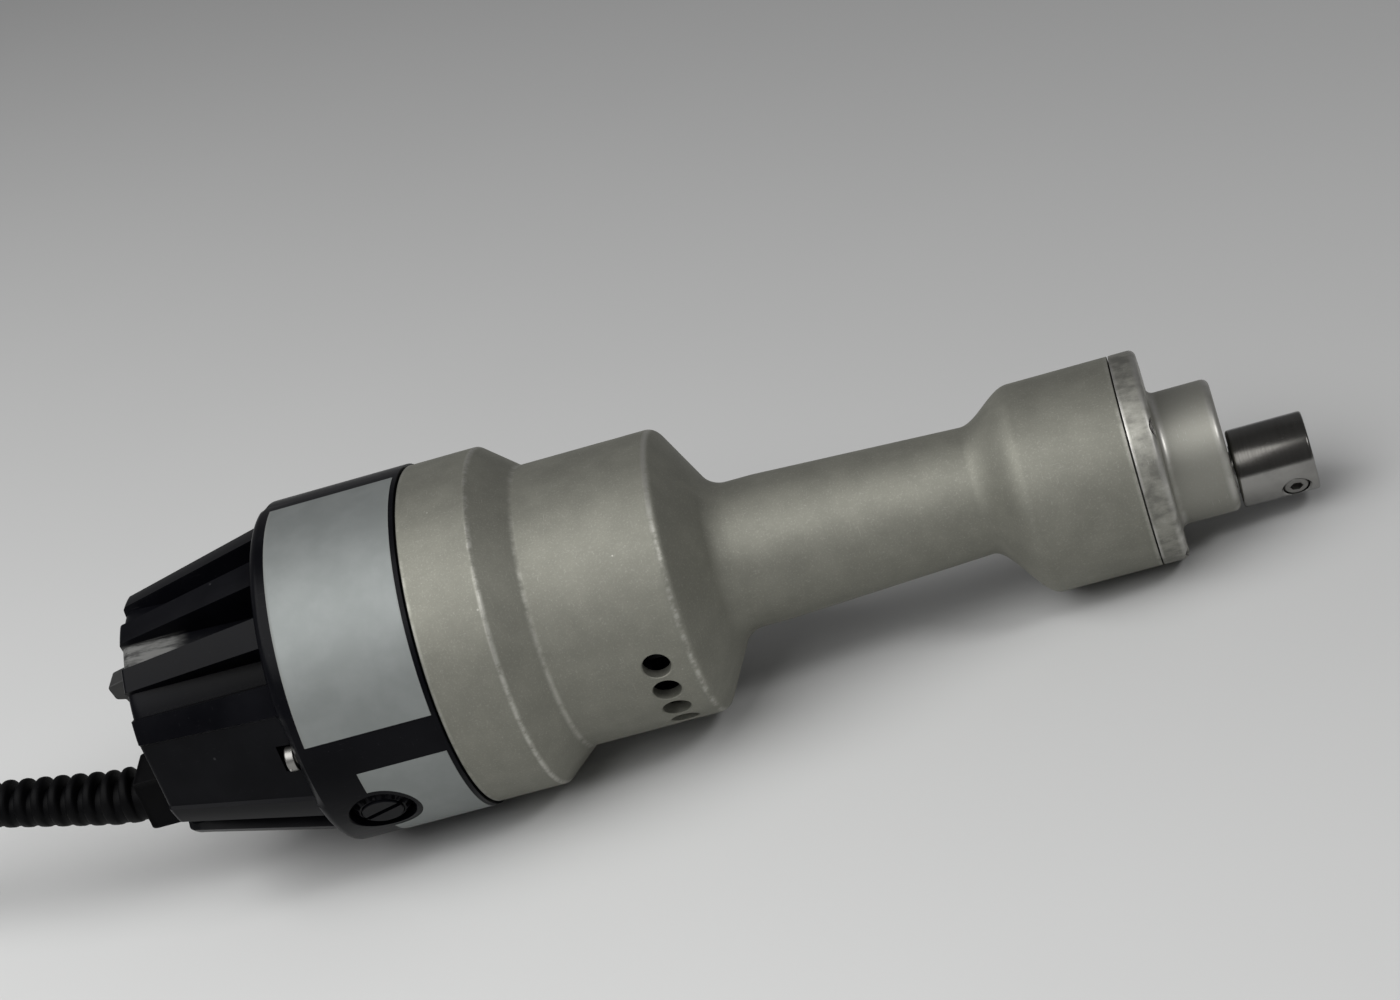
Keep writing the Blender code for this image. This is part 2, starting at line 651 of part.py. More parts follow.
def nose_cap(saw):
    """The flange and boss that close the head and carry the spindle's two bearings."""
    spigot_radius = CAVITY_RADIUS - SEAT_GAP
    bearing_seat = SPINDLE_BEARING_RADIUS + SEAT_GAP
    bush_seat = BUSH_RADIUS + SEAT_GAP
    shaft_hole = SPINDLE_SHAFT_RADIUS + 3 * RUNNING_GAP
    seat_front = SPINDLE_BEARING_WIDTH + SEAT_GAP
    bush_rear = X_BOSS_FRONT - BUSH_LENGTH - SEAT_GAP
    face = CAP_JOINT
    rings = [(face - SPIGOT_LENGTH, spigot_radius, HEAD_OFFSET), (face, spigot_radius, HEAD_OFFSET)]
    rings += edge_round(face, HEAD_RADIUS, EDGE_BREAK, HEAD_OFFSET, -1, steps=1)
    rings += reversed(edge_round(FLANGE_LENGTH, HEAD_RADIUS, FLANGE_ROUND, HEAD_OFFSET, +1))
    for k in range(4):
        turn = math.pi / 2 * k / 3
        rings.append((FLANGE_LENGTH + BOSS_FILLET * (1 - math.cos(turn)),
                      BOSS_RADIUS + BOSS_FILLET * (1 - math.sin(turn)), BOSS_OFFSET))
    rings += reversed(edge_round(X_BOSS_FRONT, BOSS_RADIUS, BOSS_ROUND, BOSS_OFFSET, +1))
    rings += [(x, radius, SPINDLE_OFFSET) for x, radius in (
        (X_BOSS_FRONT, bush_seat), (bush_rear, bush_seat), (bush_rear, shaft_hole), (seat_front, shaft_hole),
        (seat_front, bearing_seat), (face - SPIGOT_LENGTH, bearing_seat))]
    return turned("nose_cap", rings, cast_aluminium(), saw, NOSE_SIDES, through=True)


def nose_screws(saw, housing, cap):
    """Countersunk screws through the flange into the head's wall, and their holes."""
    circle = (HEAD_RADIUS + CAVITY_RADIUS) / 2
    holes = bmesh.new()
    for k in range(NOSE_SCREW_COUNT):
        angle = math.radians(45) + 2 * math.pi * k / NOSE_SCREW_COUNT
        y, z = around(circle, angle)
        place = (0, y, z - HEAD_OFFSET)
        top = FLANGE_LENGTH - SEAT_GAP
        rings = [(top - FLANGE_LENGTH - NOSE_SCREW_GRIP, NOSE_SCREW_RADIUS, 0),
                 (top - NOSE_SCREW_HEAD_DEPTH, NOSE_SCREW_RADIUS, 0), (top, NOSE_SCREW_HEAD_RADIUS, 0)]
        screw = turned(f"nose_screw_{k + 1}", rings, dark_steel(), saw, SMALL_SIDES)
        screw.location = place
        start = Vector(place) + Vector((top - FLANGE_LENGTH - NOSE_SCREW_GRIP - SEAT_GAP, 0, 0))
        wide = NOSE_SCREW_HEAD_RADIUS + NOSE_SCREW_GAP
        thin = NOSE_SCREW_RADIUS + NOSE_SCREW_GAP
        head = top - NOSE_SCREW_HEAD_DEPTH - SEAT_GAP
        hole = [(0, thin), (head - start.x, thin), (top - start.x, wide), (top - start.x + 2 * MM, wide)]
        stepped_hole(holes, start, (1, 0, 0), hole, SMALL_SIDES)
    cutter = add_object("nose_screw_cutter", holes, None, saw)
    cut(housing, cutter)
    cut(cap, cutter)


def spindle_parts(saw):
    """Spindle with the arbor and its blade socket, its bearings, the fork and the set screw."""
    axis = add_empty("spindle_axis", saw, (0, 0, -SPINDLE_OFFSET))
    rear = X_FORK_REAR - SEAT_GAP
    collar_rear = X_BOSS_FRONT + RUNNING_GAP
    rings = [(rear, SPINDLE_SHAFT_RADIUS - EDGE_BREAK, 0), (rear + EDGE_BREAK, SPINDLE_SHAFT_RADIUS, 0),
             (collar_rear, SPINDLE_SHAFT_RADIUS, 0), (collar_rear, ARBOR_COLLAR_RADIUS, 0),
             (X_ARBOR_REAR, ARBOR_COLLAR_RADIUS, 0)]
    rings += edge_round(X_ARBOR_REAR, ARBOR_RADIUS, ARBOR_REAR_ROUND, 0, -1)
    rings += reversed(edge_round(X_ARBOR_TIP, ARBOR_RADIUS, ARBOR_CHAMFER, 0, +1, steps=1))
    rings += [(X_ARBOR_TIP, SOCKET_RADIUS + EDGE_BREAK, 0), (X_ARBOR_TIP - EDGE_BREAK, SOCKET_RADIUS, 0),
              (X_ARBOR_TIP - SOCKET_DEPTH, SOCKET_RADIUS, 0)]
    spindle = turned("spindle", rings, polished_steel(), axis, SPINDLE_SIDES)
    x_screw = X_ARBOR_TIP - SET_SCREW_FROM_TIP
    direction = outward(SET_SCREW_ANGLE)
    hole = rod_bm(Vector((x_screw, 0, 0)) + direction * (SOCKET_RADIUS / 2), direction,
                  SET_SCREW_RADIUS + SEAT_GAP, ARBOR_RADIUS, SMALL_SIDES)
    cut(spindle, add_object("set_screw_cutter", hole, None, axis))
    screw_rings = [(SOCKET_RADIUS + SEAT_GAP, SET_SCREW_RADIUS - EDGE_BREAK, 0),
                   (SOCKET_RADIUS + SEAT_GAP + EDGE_BREAK, SET_SCREW_RADIUS, 0),
                   (ARBOR_RADIUS - EDGE_BREAK, SET_SCREW_RADIUS, 0)]
    screw = turned("arbor_set_screw", screw_rings, dark_steel(), axis, SMALL_SIDES)
    screw.location = (x_screw, 0, 0)
    aim(screw, direction)

    inner = ECCENTRIC_BEARING_RADIUS + FORK_SIDE_CLEARANCE
    arm = inner + FORK_ARM_THICKNESS
    top = SPINDLE_OFFSET + FORK_ARM_RISE
    outline = [(arm, top), (arm, FORK_HUB_RADIUS)]
    outline += [(FORK_HUB_RADIUS * math.cos(turn), -FORK_HUB_RADIUS * math.sin(turn))
                for turn in (math.pi * k / 10 for k in range(11))]
    outline += [(-arm, FORK_HUB_RADIUS), (-arm, top), (-inner, top)]
    outline += [(-inner * math.cos(turn), SPINDLE_OFFSET - inner * math.sin(turn))
                for turn in (math.pi * k / 10 for k in range(11))]
    outline += [(inner, top)]
    fork = add_object("fork", prism_bm(outline, X_FORK_REAR, X_FORK_FRONT), dark_steel(), axis)
    bore = rod_bm((X_FORK_REAR - MM, 0, 0), (1, 0, 0), SPINDLE_SHAFT_RADIUS + SEAT_GAP, FORK_WIDTH + 2 * MM,
                  SPINDLE_SIDES)
    cut(fork, add_object("fork_cutter", bore, None, axis))

    bore_radius = SPINDLE_SHAFT_RADIUS + RUNNING_GAP
    bearing("spindle_bearing", 0, SPINDLE_BEARING_RADIUS, bore_radius, SPINDLE_BEARING_WIDTH, saw,
            SPINDLE_OFFSET)
    bush_rear = X_BOSS_FRONT - BUSH_LENGTH
    bush = [(bush_rear, BUSH_RADIUS, SPINDLE_OFFSET), (X_BOSS_FRONT, BUSH_RADIUS, SPINDLE_OFFSET),
            (X_BOSS_FRONT, bore_radius, SPINDLE_OFFSET), (bush_rear, bore_radius, SPINDLE_OFFSET)]
    turned("nose_bush", bush, brass(), saw, SPINDLE_SIDES, through=True)


def armature(saw):
    """Everything that turns with the motor shaft."""
    axis = add_empty("armature_axis", saw)
    pin_rear = X_DRIVE_BEARING_FRONT + SEAT_GAP
    shoulder = X_BRACKET_END + MM
    rings = [(X_REAR_BEARING - EDGE_BREAK, REAR_JOURNAL_RADIUS, 0), (shoulder, REAR_JOURNAL_RADIUS, 0),
             (shoulder, SHAFT_RADIUS, 0), (pin_rear, SHAFT_RADIUS, 0),
             (pin_rear, ECCENTRIC_PIN_RADIUS, -ECCENTRICITY),
             (X_FORK_FRONT, ECCENTRIC_PIN_RADIUS, -ECCENTRICITY)]
    turned("motor_shaft", rings, polished_steel(), axis, INNER_SIDES)
    pin_hole = ECCENTRIC_PIN_RADIUS + SEAT_GAP
    ring = [(x, radius, -ECCENTRICITY) for x, radius in (
        (X_FORK_REAR, ECCENTRIC_BEARING_RADIUS), (X_FORK_FRONT, ECCENTRIC_BEARING_RADIUS),
        (X_FORK_FRONT, pin_hole), (X_FORK_REAR, pin_hole))]
    turned("eccentric_bearing", ring, bearing_steel(), axis, INNER_SIDES, through=True)

    hole = SHAFT_RADIUS + SEAT_GAP
    core_rear = X_MOTOR_CENTRE - CORE_LENGTH / 2
    core_front = X_MOTOR_CENTRE + CORE_LENGTH / 2
    outline = toothed_outline(CORE_SLOTS, CORE_RADIUS, 0.55 * CORE_RADIUS, 0.82, 0.4)
    core = add_object("armature_core", prism_bm(outline, core_rear, core_front), lamination_steel(), axis)
    shaft_bore = rod_bm((X_REAR_BEARING, 0, 0), (1, 0, 0), hole, -X_REAR_BEARING, INNER_SIDES)
    bore_cutter = add_object("shaft_cutter", shaft_bore, None, axis)
    cut(core, bore_cutter)

    def winding(name, x0, x1):
        bulge = 0.25 * (x1 - x0)
        rings = [(x0, hole, 0), (x0, 0.8 * WINDING_RADIUS, 0), (x0 + bulge, WINDING_RADIUS, 0),
                 (x1 - bulge, WINDING_RADIUS, 0), (x1, 0.8 * WINDING_RADIUS, 0), (x1, hole, 0)]
        turned(name, rings, copper(), axis, 2 * CORE_SLOTS, through=True, lobe_depth=0.05 * WINDING_RADIUS)

    winding("winding_rear", core_rear - SEAT_GAP - WINDING_LENGTH, core_rear - SEAT_GAP)
    winding("winding_front", core_front + SEAT_GAP, core_front + SEAT_GAP + WINDING_LENGTH)

    outline = toothed_outline(COMMUTATOR_BARS, COMMUTATOR_RADIUS, 0.93 * COMMUTATOR_RADIUS, 0.84, 0.84)
    half = COMMUTATOR_LENGTH / 2
    commutator = add_object("commutator", prism_bm(outline, X_BRUSH - half, X_BRUSH + half), copper(), axis)
    cut(commutator, bore_cutter)

    disc_front = X_FAN_REAR + FAN_DISC
    fan_front = X_FAN_REAR + FAN_WIDTH
    hub = [(X_FAN_REAR, hole, 0), (X_FAN_REAR, FAN_RADIUS, 0), (disc_front, FAN_RADIUS, 0),
           (disc_front, FAN_HUB_RADIUS, 0), (fan_front, FAN_HUB_RADIUS, 0), (fan_front, hole, 0)]
    fan = turned("cooling_fan", hub, black_plastic(), axis, 2 * FAN_BLADES, through=True)
    blades = bmesh.new()
    for k in range(FAN_BLADES):
        angle = 2 * math.pi * (k + 0.5) / FAN_BLADES
        along = outward(angle)
        across = Vector((0, along.z, -along.y))
        corners = []
        for x in (X_FAN_REAR + FAN_DISC / 2, fan_front - FAN_DISC / 3):
            for radius in (FAN_HUB_RADIUS - 2 * FAN_BLADE_THICKNESS, FAN_RADIUS - FAN_BLADE_THICKNESS):
                for side in (-0.5, 0.5):
                    corners.append(blades.verts.new(Vector((x, 0, 0)) + along * radius
                                                    + across * side * FAN_BLADE_THICKNESS))
        for face in ((0, 1, 3, 2), (4, 6, 7, 5), (0, 4, 5, 1), (2, 3, 7, 6), (0, 2, 6, 4), (1, 5, 7, 3)):
            blades.faces.new([corners[i] for i in face])
    combine(fan, add_object("blade_guide", blades, None, axis), "UNION")


def motor_fixed_parts(saw):
    """Stator, field coils and the bearings of the motor shaft."""
    stator = turned("stator_core", [(X_STATOR_REAR, STATOR_RADIUS, 0), (X_STATOR_FRONT, STATOR_RADIUS, 0)],
                    lamination_steel(), saw, BODY_SIDES)
    outline = []
    yoke_start = POLE_NECK_ANGLE * POLE_SHOE_RADIUS / YOKE_INNER_RADIUS
    for side in (0, math.pi):
        for k in range(WINDOW_STEPS + 1):
            turn = mix(-POLE_SHOE_ANGLE, POLE_SHOE_ANGLE, k / WINDOW_STEPS)
            outline.append(around(POLE_BORE_RADIUS, side + turn))
        outline.append(around(POLE_SHOE_RADIUS, side + POLE_SHOE_ANGLE))
        outline.append(around(POLE_SHOE_RADIUS, side + POLE_NECK_ANGLE))
        for k in range(WINDOW_STEPS + 1):
            turn = mix(yoke_start, math.pi - yoke_start, k / WINDOW_STEPS)
            outline.append(around(YOKE_INNER_RADIUS, side + turn))
        outline.append(around(POLE_SHOE_RADIUS, side + math.pi - POLE_NECK_ANGLE))
        outline.append(around(POLE_SHOE_RADIUS, side + math.pi - POLE_SHOE_ANGLE))
    window = prism_bm(outline, X_STATOR_REAR - MM, X_STATOR_FRONT + MM)
    cut(stator, add_object("stator_cutter", window, None, saw))

    low = POLE_SHOE_RADIUS + SEAT_GAP
    high = YOKE_INNER_RADIUS * math.cos((math.pi / 2 - yoke_start) / WINDOW_STEPS) - SEAT_GAP
    neck = POLE_NECK_ANGLE + COIL_NECK_CLEARANCE
    angles = [mix(-COIL_SIDE_ANGLE, -neck, k / 3) for k in range(4)]
    angles += [mix(-neck, neck, k / 3) for k in (1, 2)]
    angles += [mix(neck, COIL_SIDE_ANGLE, k / 3) for k in range(4)]
    ends = [X_STATOR_REAR - SEAT_GAP, X_STATOR_FRONT + SEAT_GAP]
    stations = [ends[0] - COIL_END_LENGTH, ends[0], ends[1], ends[1] + COIL_END_LENGTH]
    for name, side in (("field_coil_top", 0), ("field_coil_bottom", math.pi)):
        bm = sheet_bm(
            angles, stations,
            lambda angle, x, side=side: (x, *around(high, angle + side)),
            lambda angle, x, side=side: (x, *around(low, angle + side)),
            lambda i, j: j != 1 or not 3 <= i <= 5, wrap=False)
        add_object(name, bm, copper(), saw)

    running = SHAFT_RADIUS + RUNNING_GAP
    bearing("drive_bearing", X_DRIVE_BEARING_REAR, DRIVE_BEARING_RADIUS, running, DRIVE_BEARING_WIDTH, saw)
    bearing("middle_bearing", X_MIDDLE_BEARING_REAR, MIDDLE_BEARING_RADIUS, running, MIDDLE_BEARING_WIDTH,
            saw)
    bearing("rear_bearing", X_REAR_BEARING, REAR_BEARING_RADIUS, REAR_JOURNAL_RADIUS + RUNNING_GAP,
            REAR_BEARING_WIDTH, saw)


def end_bracket(saw):
    """The cup behind the motor: it holds the rear bearing, the brush holders and the cap's screws."""
    wall_front = X_BRACKET_END + BRACKET_END_THICKNESS
    front = X_STATOR_REAR - COIL_END_LENGTH - 2 * SEAT_GAP
    inner = BRACKET_RADIUS - BRACKET_WALL
    seat = REAR_BEARING_RADIUS + SEAT_GAP
    hub_rear = X_REAR_BEARING - SEAT_GAP
    rings = [(front, BRACKET_RADIUS, 0), (X_BRACKET_END, BRACKET_RADIUS, 0),
             (X_BRACKET_END, BRACKET_HUB_RADIUS, 0),
             (hub_rear, BRACKET_HUB_RADIUS, 0), (hub_rear, seat, 0), (X_BRACKET_END + SEAT_GAP, seat, 0),
             (X_BRACKET_END + SEAT_GAP, SHAFT_RADIUS + 3 * RUNNING_GAP, 0),
             (wall_front, SHAFT_RADIUS + 3 * RUNNING_GAP, 0), (wall_front, inner, 0), (front, inner, 0)]
    bracket = turned("end_bracket", rings, cast_aluminium(), saw, NOSE_SIDES, through=True)
    windows = bmesh.new()
    for k in range(CAP_PANELS):
        centre = FIRST_PANEL_ANGLE + 2 * math.pi * (k + 0.5) / CAP_PANELS
        steps = 4
        half = BRACKET_WINDOW_HALF_ANGLE
        turns = [mix(-half, half, i / steps) for i in range(steps + 1)]
        outline = [around(BRACKET_WINDOW_INNER_RADIUS, centre + turn) for turn in turns]
        outline += [around(BRACKET_WINDOW_OUTER_RADIUS, centre + turn) for turn in reversed(turns)]
        loops = [[windows.verts.new((x, y, z)) for y, z in outline]
                 for x in (X_BRACKET_END - MM, wall_front + MM)]
        skin_rings(windows, loops, through=False)
    cut(bracket, add_object("bracket_window_cutter", windows, None, saw))
    return bracket


def cone_radius(x):
    """Radius over the ribs of the cap at a station, with the rounded step and end."""
    if x >= X_STEP_FRONT:
        return CAP_RADIUS
    if x >= X_CONE_FRONT:
        share = (X_STEP_FRONT - x) / CAP_STEP_LENGTH
        return mix(CAP_RADIUS, CAP_CONE_FRONT_RADIUS, 1 - math.sqrt(max(0.0, 1 - share * share)))
    if x >= X_CONE_REAR:
        return mix(CAP_CONE_FRONT_RADIUS, CAP_CONE_REAR_RADIUS, (X_CONE_FRONT - x) / CAP_CONE_LENGTH)
    share = (X_CONE_REAR - x) / CAP_END_ROUND
    return CAP_CONE_REAR_RADIUS - CAP_END_ROUND * (1 - math.sqrt(max(0.0, 1 - share * share)))


def rear_cap(saw):
    """Black plastic cap: a plain band, then a cone of ribs with open slots and three flat panels."""
    pitch = 2 * math.pi / CAP_RIBS
    per_panel = CAP_RIBS // CAP_PANELS
    gap = pitch - 2 * RIB_HALF_ANGLE
    columns, slotted, panel_turns = [], [], {}
    for k in range(CAP_RIBS):
        centre = FIRST_PANEL_ANGLE + k * pitch
        if k % per_panel == 0:
            reach = pitch - RIB_HALF_ANGLE
            edge = reach - PANEL_EDGE_ANGLE
            turns = [-reach, -edge, -edge / 2, 0, edge / 2, edge]
            panel_turns[centre] = edge
        elif k % per_panel == 1:
            turns = [-RIB_HALF_ANGLE, 0]
        else:
            turns = [-RIB_HALF_ANGLE - gap, -RIB_HALF_ANGLE - gap / 2, -RIB_HALF_ANGLE, 0]
        for turn in turns:
            columns.append(centre + turn)
            slotted.append(k % per_panel > 1 and turn < -RIB_HALF_ANGLE - gap / 4)

    step_turns = [X_STEP_FRONT - CAP_STEP_LENGTH * math.sin(math.pi / 2 * k / 4) for k in range(5)]
    slot_front = X_CONE_FRONT - SLOT_END_MARGIN
    slot_rear = X_CONE_REAR + SLOT_END_MARGIN
    end_turns = [X_CONE_REAR - CAP_END_ROUND * math.sin(math.pi / 2 * k / 3) for k in range(4)]
    slot_turns = [slot_front, mix(slot_front, slot_rear, 0.5), slot_rear]
    stations = [X_CAP_FRONT] + step_turns + slot_turns + end_turns
    slot_cells = range(stations.index(slot_front), stations.index(slot_rear))

    def panel_share(angle):
        """How far an angle lies across a panel: its turn from the panel's centre, or None."""
        for centre, edge in panel_turns.items():
            turn = (angle - centre + math.pi) % (2 * math.pi) - math.pi
            if abs(turn) < edge + PANEL_EDGE_ANGLE / 2:
                return turn, edge
        return None

    def outer(angle, x):
        radius = cone_radius(x)
        at = panel_share(angle)
        if at and x < X_STEP_FRONT:
            turn, edge = at
            flat = (radius - PANEL_DROP) * math.cos(edge) / math.cos(turn)
            ramp = min(1.0, (X_STEP_FRONT - x) / CAP_STEP_LENGTH)
            radius = mix(radius, flat, ramp)
        return (x, *around(radius, angle))

    def inner(angle, x):
        at = panel_share(angle)
        pad = BRACKET_RADIUS + SEAT_GAP
        on_pad = at and abs(at[0]) < at[1] * PAD_SHARE
        if x > X_CONE_FRONT or (on_pad and x >= slot_front):
            radius = pad if on_pad else CAP_BAND_INNER_RADIUS
        else:
            radius = min(cone_radius(x), CAP_CONE_FRONT_RADIUS) - CAP_WALL
            if at:
                radius = min(radius, (cone_radius(x) - PANEL_DROP) * math.cos(at[1]) - CAP_WALL)
        return (max(x, X_PLATE_INNER), *around(radius, angle))

    bm = sheet_bm(columns, stations, outer, inner,
                  lambda i, j: not slotted[i] or j not in slot_cells, wrap=True, cap_end=True)
    return add_object("rear_cap", bm, black_plastic(), saw, smooth_angle=28)


def cap_screws(saw, housing, cap):
    """Long screws along the main axis, from the scooped seats in the cap into the housing's rim."""
    seat = X_STEP_FRONT - CAP_SCREW_SEAT_DEPTH
    tip = X_BAND_REAR + CAP_SCREW_GRIP
    hole = CAP_SCREW_RADIUS + SEAT_GAP
    holes = bmesh.new()
    for k in range(CAP_PANELS):
        y, z = around(CAP_SCREW_CIRCLE, FIRST_PANEL_ANGLE + 2 * math.pi * k / CAP_PANELS)
        under = seat - SEAT_GAP
        top = under - CAP_SCREW_HEAD_HEIGHT
        rings = [(tip, CAP_SCREW_RADIUS, 0), (under, CAP_SCREW_RADIUS, 0), (under, CAP_SCREW_HEAD_RADIUS, 0)]
        rings += reversed(edge_round(top, CAP_SCREW_HEAD_RADIUS, EDGE_BREAK, 0, -1, steps=1))
        screw = turned(f"cap_screw_{k + 1}", rings, polished_steel(), saw, SMALL_SIDES)
        screw.location = (0, y, z)
        stepped = [(tip + SEAT_GAP, hole), (seat, hole), (seat, CAP_SCOOP_RADIUS),
                   (seat - CAP_SCOOP_LENGTH, CAP_SCOOP_RADIUS)]
        stepped_hole(holes, (0, y, z), (1, 0, 0), stepped, SMALL_SIDES)
    cutter = add_object("cap_screw_cutter", holes, None, saw)
    cut(housing, cutter)
    cut(cap, cutter)


def spring_bm(radius, wire, x0, x1, turns, points_per_turn=7, wire_sides=4):
    """A coil spring between two stations, with its wire skinned as one closed tube."""
    bm = bmesh.new()
    count = turns * points_per_turn
    loops = []
    for k in range(count + 1):
        angle = 2 * math.pi * k / points_per_turn
        centre = Vector((mix(x0 + wire, x1 - wire, k / count), *around(radius, angle)))
        along_x = Vector((1, 0, 0))
        out = Vector((0, *around(1, angle)))
        loops.append([bm.verts.new(centre + wire * (out * math.cos(t) + along_x * math.sin(t)))
                      for t in (2 * math.pi * i / wire_sides for i in range(wire_sides))])
    skin_rings(bm, loops, through=False)
    return bm


def brush_gear(saw, cap, bracket):
    """Two carbon brushes with their holders, springs and slotted caps, and the holes for them."""
    floor = CAP_RADIUS - BRUSH_RECESS_DEPTH
    holder_low = COMMUTATOR_RADIUS + HOLDER_STANDOFF
    holder_high = floor - SEAT_GAP
    brush_low = COMMUTATOR_RADIUS + RUNNING_GAP
    brush_high = brush_low + BRUSH_LENGTH
    cap_low = floor + SEAT_GAP
    holes = bmesh.new()
    for tag, angle in (("front", BRUSH_ANGLE), ("back", BRUSH_ANGLE + math.pi)):
        direction = outward(angle)
        place = Vector((X_BRUSH, 0, 0))

        rings = [(holder_low, HOLDER_RADIUS, 0), (holder_high, HOLDER_RADIUS, 0)]
        holder = turned(f"brush_holder_{tag}", rings, brass(), saw, SMALL_SIDES)
        holder.location = place
        aim(holder, direction)
        slot = box_bm((holder_low - MM, -BRUSH_WIDTH / 2 - SEAT_GAP, -BRUSH_THICKNESS / 2 - SEAT_GAP),
                      (holder_high + MM, BRUSH_WIDTH / 2 + SEAT_GAP, BRUSH_THICKNESS / 2 + SEAT_GAP))
        slot_cutter = aim(add_object(f"brush_slot_cutter_{tag}", slot, None, saw, place), direction)
        cut(holder, slot_cutter)

        brush = box_bm((brush_low, -BRUSH_WIDTH / 2, -BRUSH_THICKNESS / 2),
                       (brush_high, BRUSH_WIDTH / 2, BRUSH_THICKNESS / 2))
        aim(add_object(f"carbon_brush_{tag}", brush, carbon(), saw, place), direction)
        spring = spring_bm(SPRING_RADIUS, SPRING_WIRE_RADIUS, brush_high + SEAT_GAP, cap_low - SEAT_GAP,
                           SPRING_TURNS)
        aim(add_object(f"brush_spring_{tag}", spring, polished_steel(), saw, place), direction)

        height = CAP_RADIUS - cap_low
        rings = [(cap_low, BRUSH_CAP_RADIUS, 0), (cap_low + 0.35 * height, BRUSH_CAP_RADIUS, 0),
                 (cap_low + 0.8 * height, BRUSH_CAP_TOP_RADIUS, 0),
                 (cap_low + height, BRUSH_CAP_TOP_RADIUS - EDGE_BREAK, 0)]
        lid = turned(f"brush_cap_{tag}", rings, black_plastic(), saw, INNER_SIDES)
        lid.location = place
        aim(lid, direction)
        groove = box_bm((CAP_RADIUS - BRUSH_CAP_SLOT_DEPTH, -BRUSH_CAP_RADIUS, -BRUSH_CAP_SLOT_WIDTH / 2),
                        (CAP_RADIUS + MM, BRUSH_CAP_RADIUS, BRUSH_CAP_SLOT_WIDTH / 2))
        groove_cutter = aim(add_object(f"brush_cap_cutter_{tag}", groove, None, saw, place), direction)
        cut(lid, groove_cutter)

        hole = [(holder_low - SEAT_GAP, HOLDER_RADIUS + SEAT_GAP), (floor, HOLDER_RADIUS + SEAT_GAP),
                (floor, BRUSH_RECESS_RADIUS), (CAP_RADIUS + 2 * MM, BRUSH_RECESS_RADIUS)]
        stepped_hole(holes, place, direction, hole, INNER_SIDES)
    cutter = add_object("brush_hole_cutter", holes, None, saw)
    cut(cap, cutter)
    cut(bracket, cutter)


def rocker_switch(saw, cap):
    """Rocker switch in the end plate: the body with its bezel and pocket, and the moving rocker."""
    face = X_CAP_REAR
    half = SWITCH_BODY_LENGTH / 2
    wide = SWITCH_BODY_WIDTH / 2
    inner_end = face + SWITCH_BODY_DEPTH
    hole = box_bm((face - MM, -wide - SEAT_GAP, SWITCH_HEIGHT - half - SEAT_GAP),
                  (X_PLATE_INNER + MM, wide + SEAT_GAP, SWITCH_HEIGHT + half + SEAT_GAP))
    cut(cap, add_object("switch_hole_cutter", hole, None, saw))

    bezel_rear = face - SEAT_GAP - BEZEL_THICKNESS
    block = box_bm((face - SEAT_GAP - BEZEL_THICKNESS / 2, -wide, SWITCH_HEIGHT - half),
                   (inner_end, wide, SWITCH_HEIGHT + half))
    body = add_object("switch_body", block, black_plastic(), saw)
    bezel = box_bm((bezel_rear, -BEZEL_WIDTH / 2, SWITCH_HEIGHT - BEZEL_LENGTH / 2),
                   (face - SEAT_GAP, BEZEL_WIDTH / 2, SWITCH_HEIGHT + BEZEL_LENGTH / 2))
    combine(body, add_object("bezel_guide", bezel, None, saw), "UNION")
    sweep = ROCKER_LENGTH / 2 * math.cos(ROCKER_TILT) + ROCKER_TIP_RISE * math.sin(ROCKER_TILT) + RUNNING_GAP
    side_room = ROCKER_WIDTH / 2 + RUNNING_GAP
    pocket = box_bm((bezel_rear - MM, -side_room, SWITCH_HEIGHT - sweep),
                    (bezel_rear + SWITCH_POCKET_DEPTH, side_room, SWITCH_HEIGHT + sweep))
    cut(body, add_object("switch_pocket_cutter", pocket, None, saw))

    end = ROCKER_LENGTH / 2
    side = [(-ROCKER_SKIRT, end), (-ROCKER_TIP_RISE, end), (-ROCKER_TIP_RISE, end - ROCKER_LAND),
            (-ROCKER_VALLEY_RISE, 0)]
    below = [(ROCKER_DRUM_RADIUS, 0.5 * ROCKER_DRUM_RADIUS), (-0.5 * ROCKER_DRUM_RADIUS, ROCKER_DRUM_RADIUS)]
    outline = side + [(x, -z) for x, z in reversed(side[:-1])]
    outline += [(x, -z) for x, z in reversed(below)] + below
    rocker_bm = bmesh.new()
    loops = []
    for y in (-ROCKER_WIDTH / 2, ROCKER_WIDTH / 2):
        loops.append([rocker_bm.verts.new((x, y, z)) for x, z in outline])
    skin_rings(rocker_bm, loops, through=False)
    rocker = add_object("rocker", rocker_bm, black_plastic(), saw,
                        (face + ROCKER_PIVOT_DEPTH, 0, SWITCH_HEIGHT))
    rocker.rotation_euler = (0, -ROCKER_TILT, 0)
    return rocker


def relief_centre(distance):
    """Centre line of the strain relief at a distance behind the end plate, and its direction."""
    past = max(0.0, distance - COLLAR_LENGTH)
    if past < RELIEF_BEND_LENGTH:
        run = past * past / (2 * RELIEF_BEND_LENGTH)
        slope = past / RELIEF_BEND_LENGTH
    else:
        run = past - RELIEF_BEND_LENGTH / 2
        slope = 1.0
    side, rise = math.tan(RELIEF_YAW), math.tan(RELIEF_PITCH)
    place = Vector((X_CAP_REAR - distance, side * run, -RELIEF_DROP + rise * run))
    return place, Vector((-1, side * slope, rise * slope)).normalized()


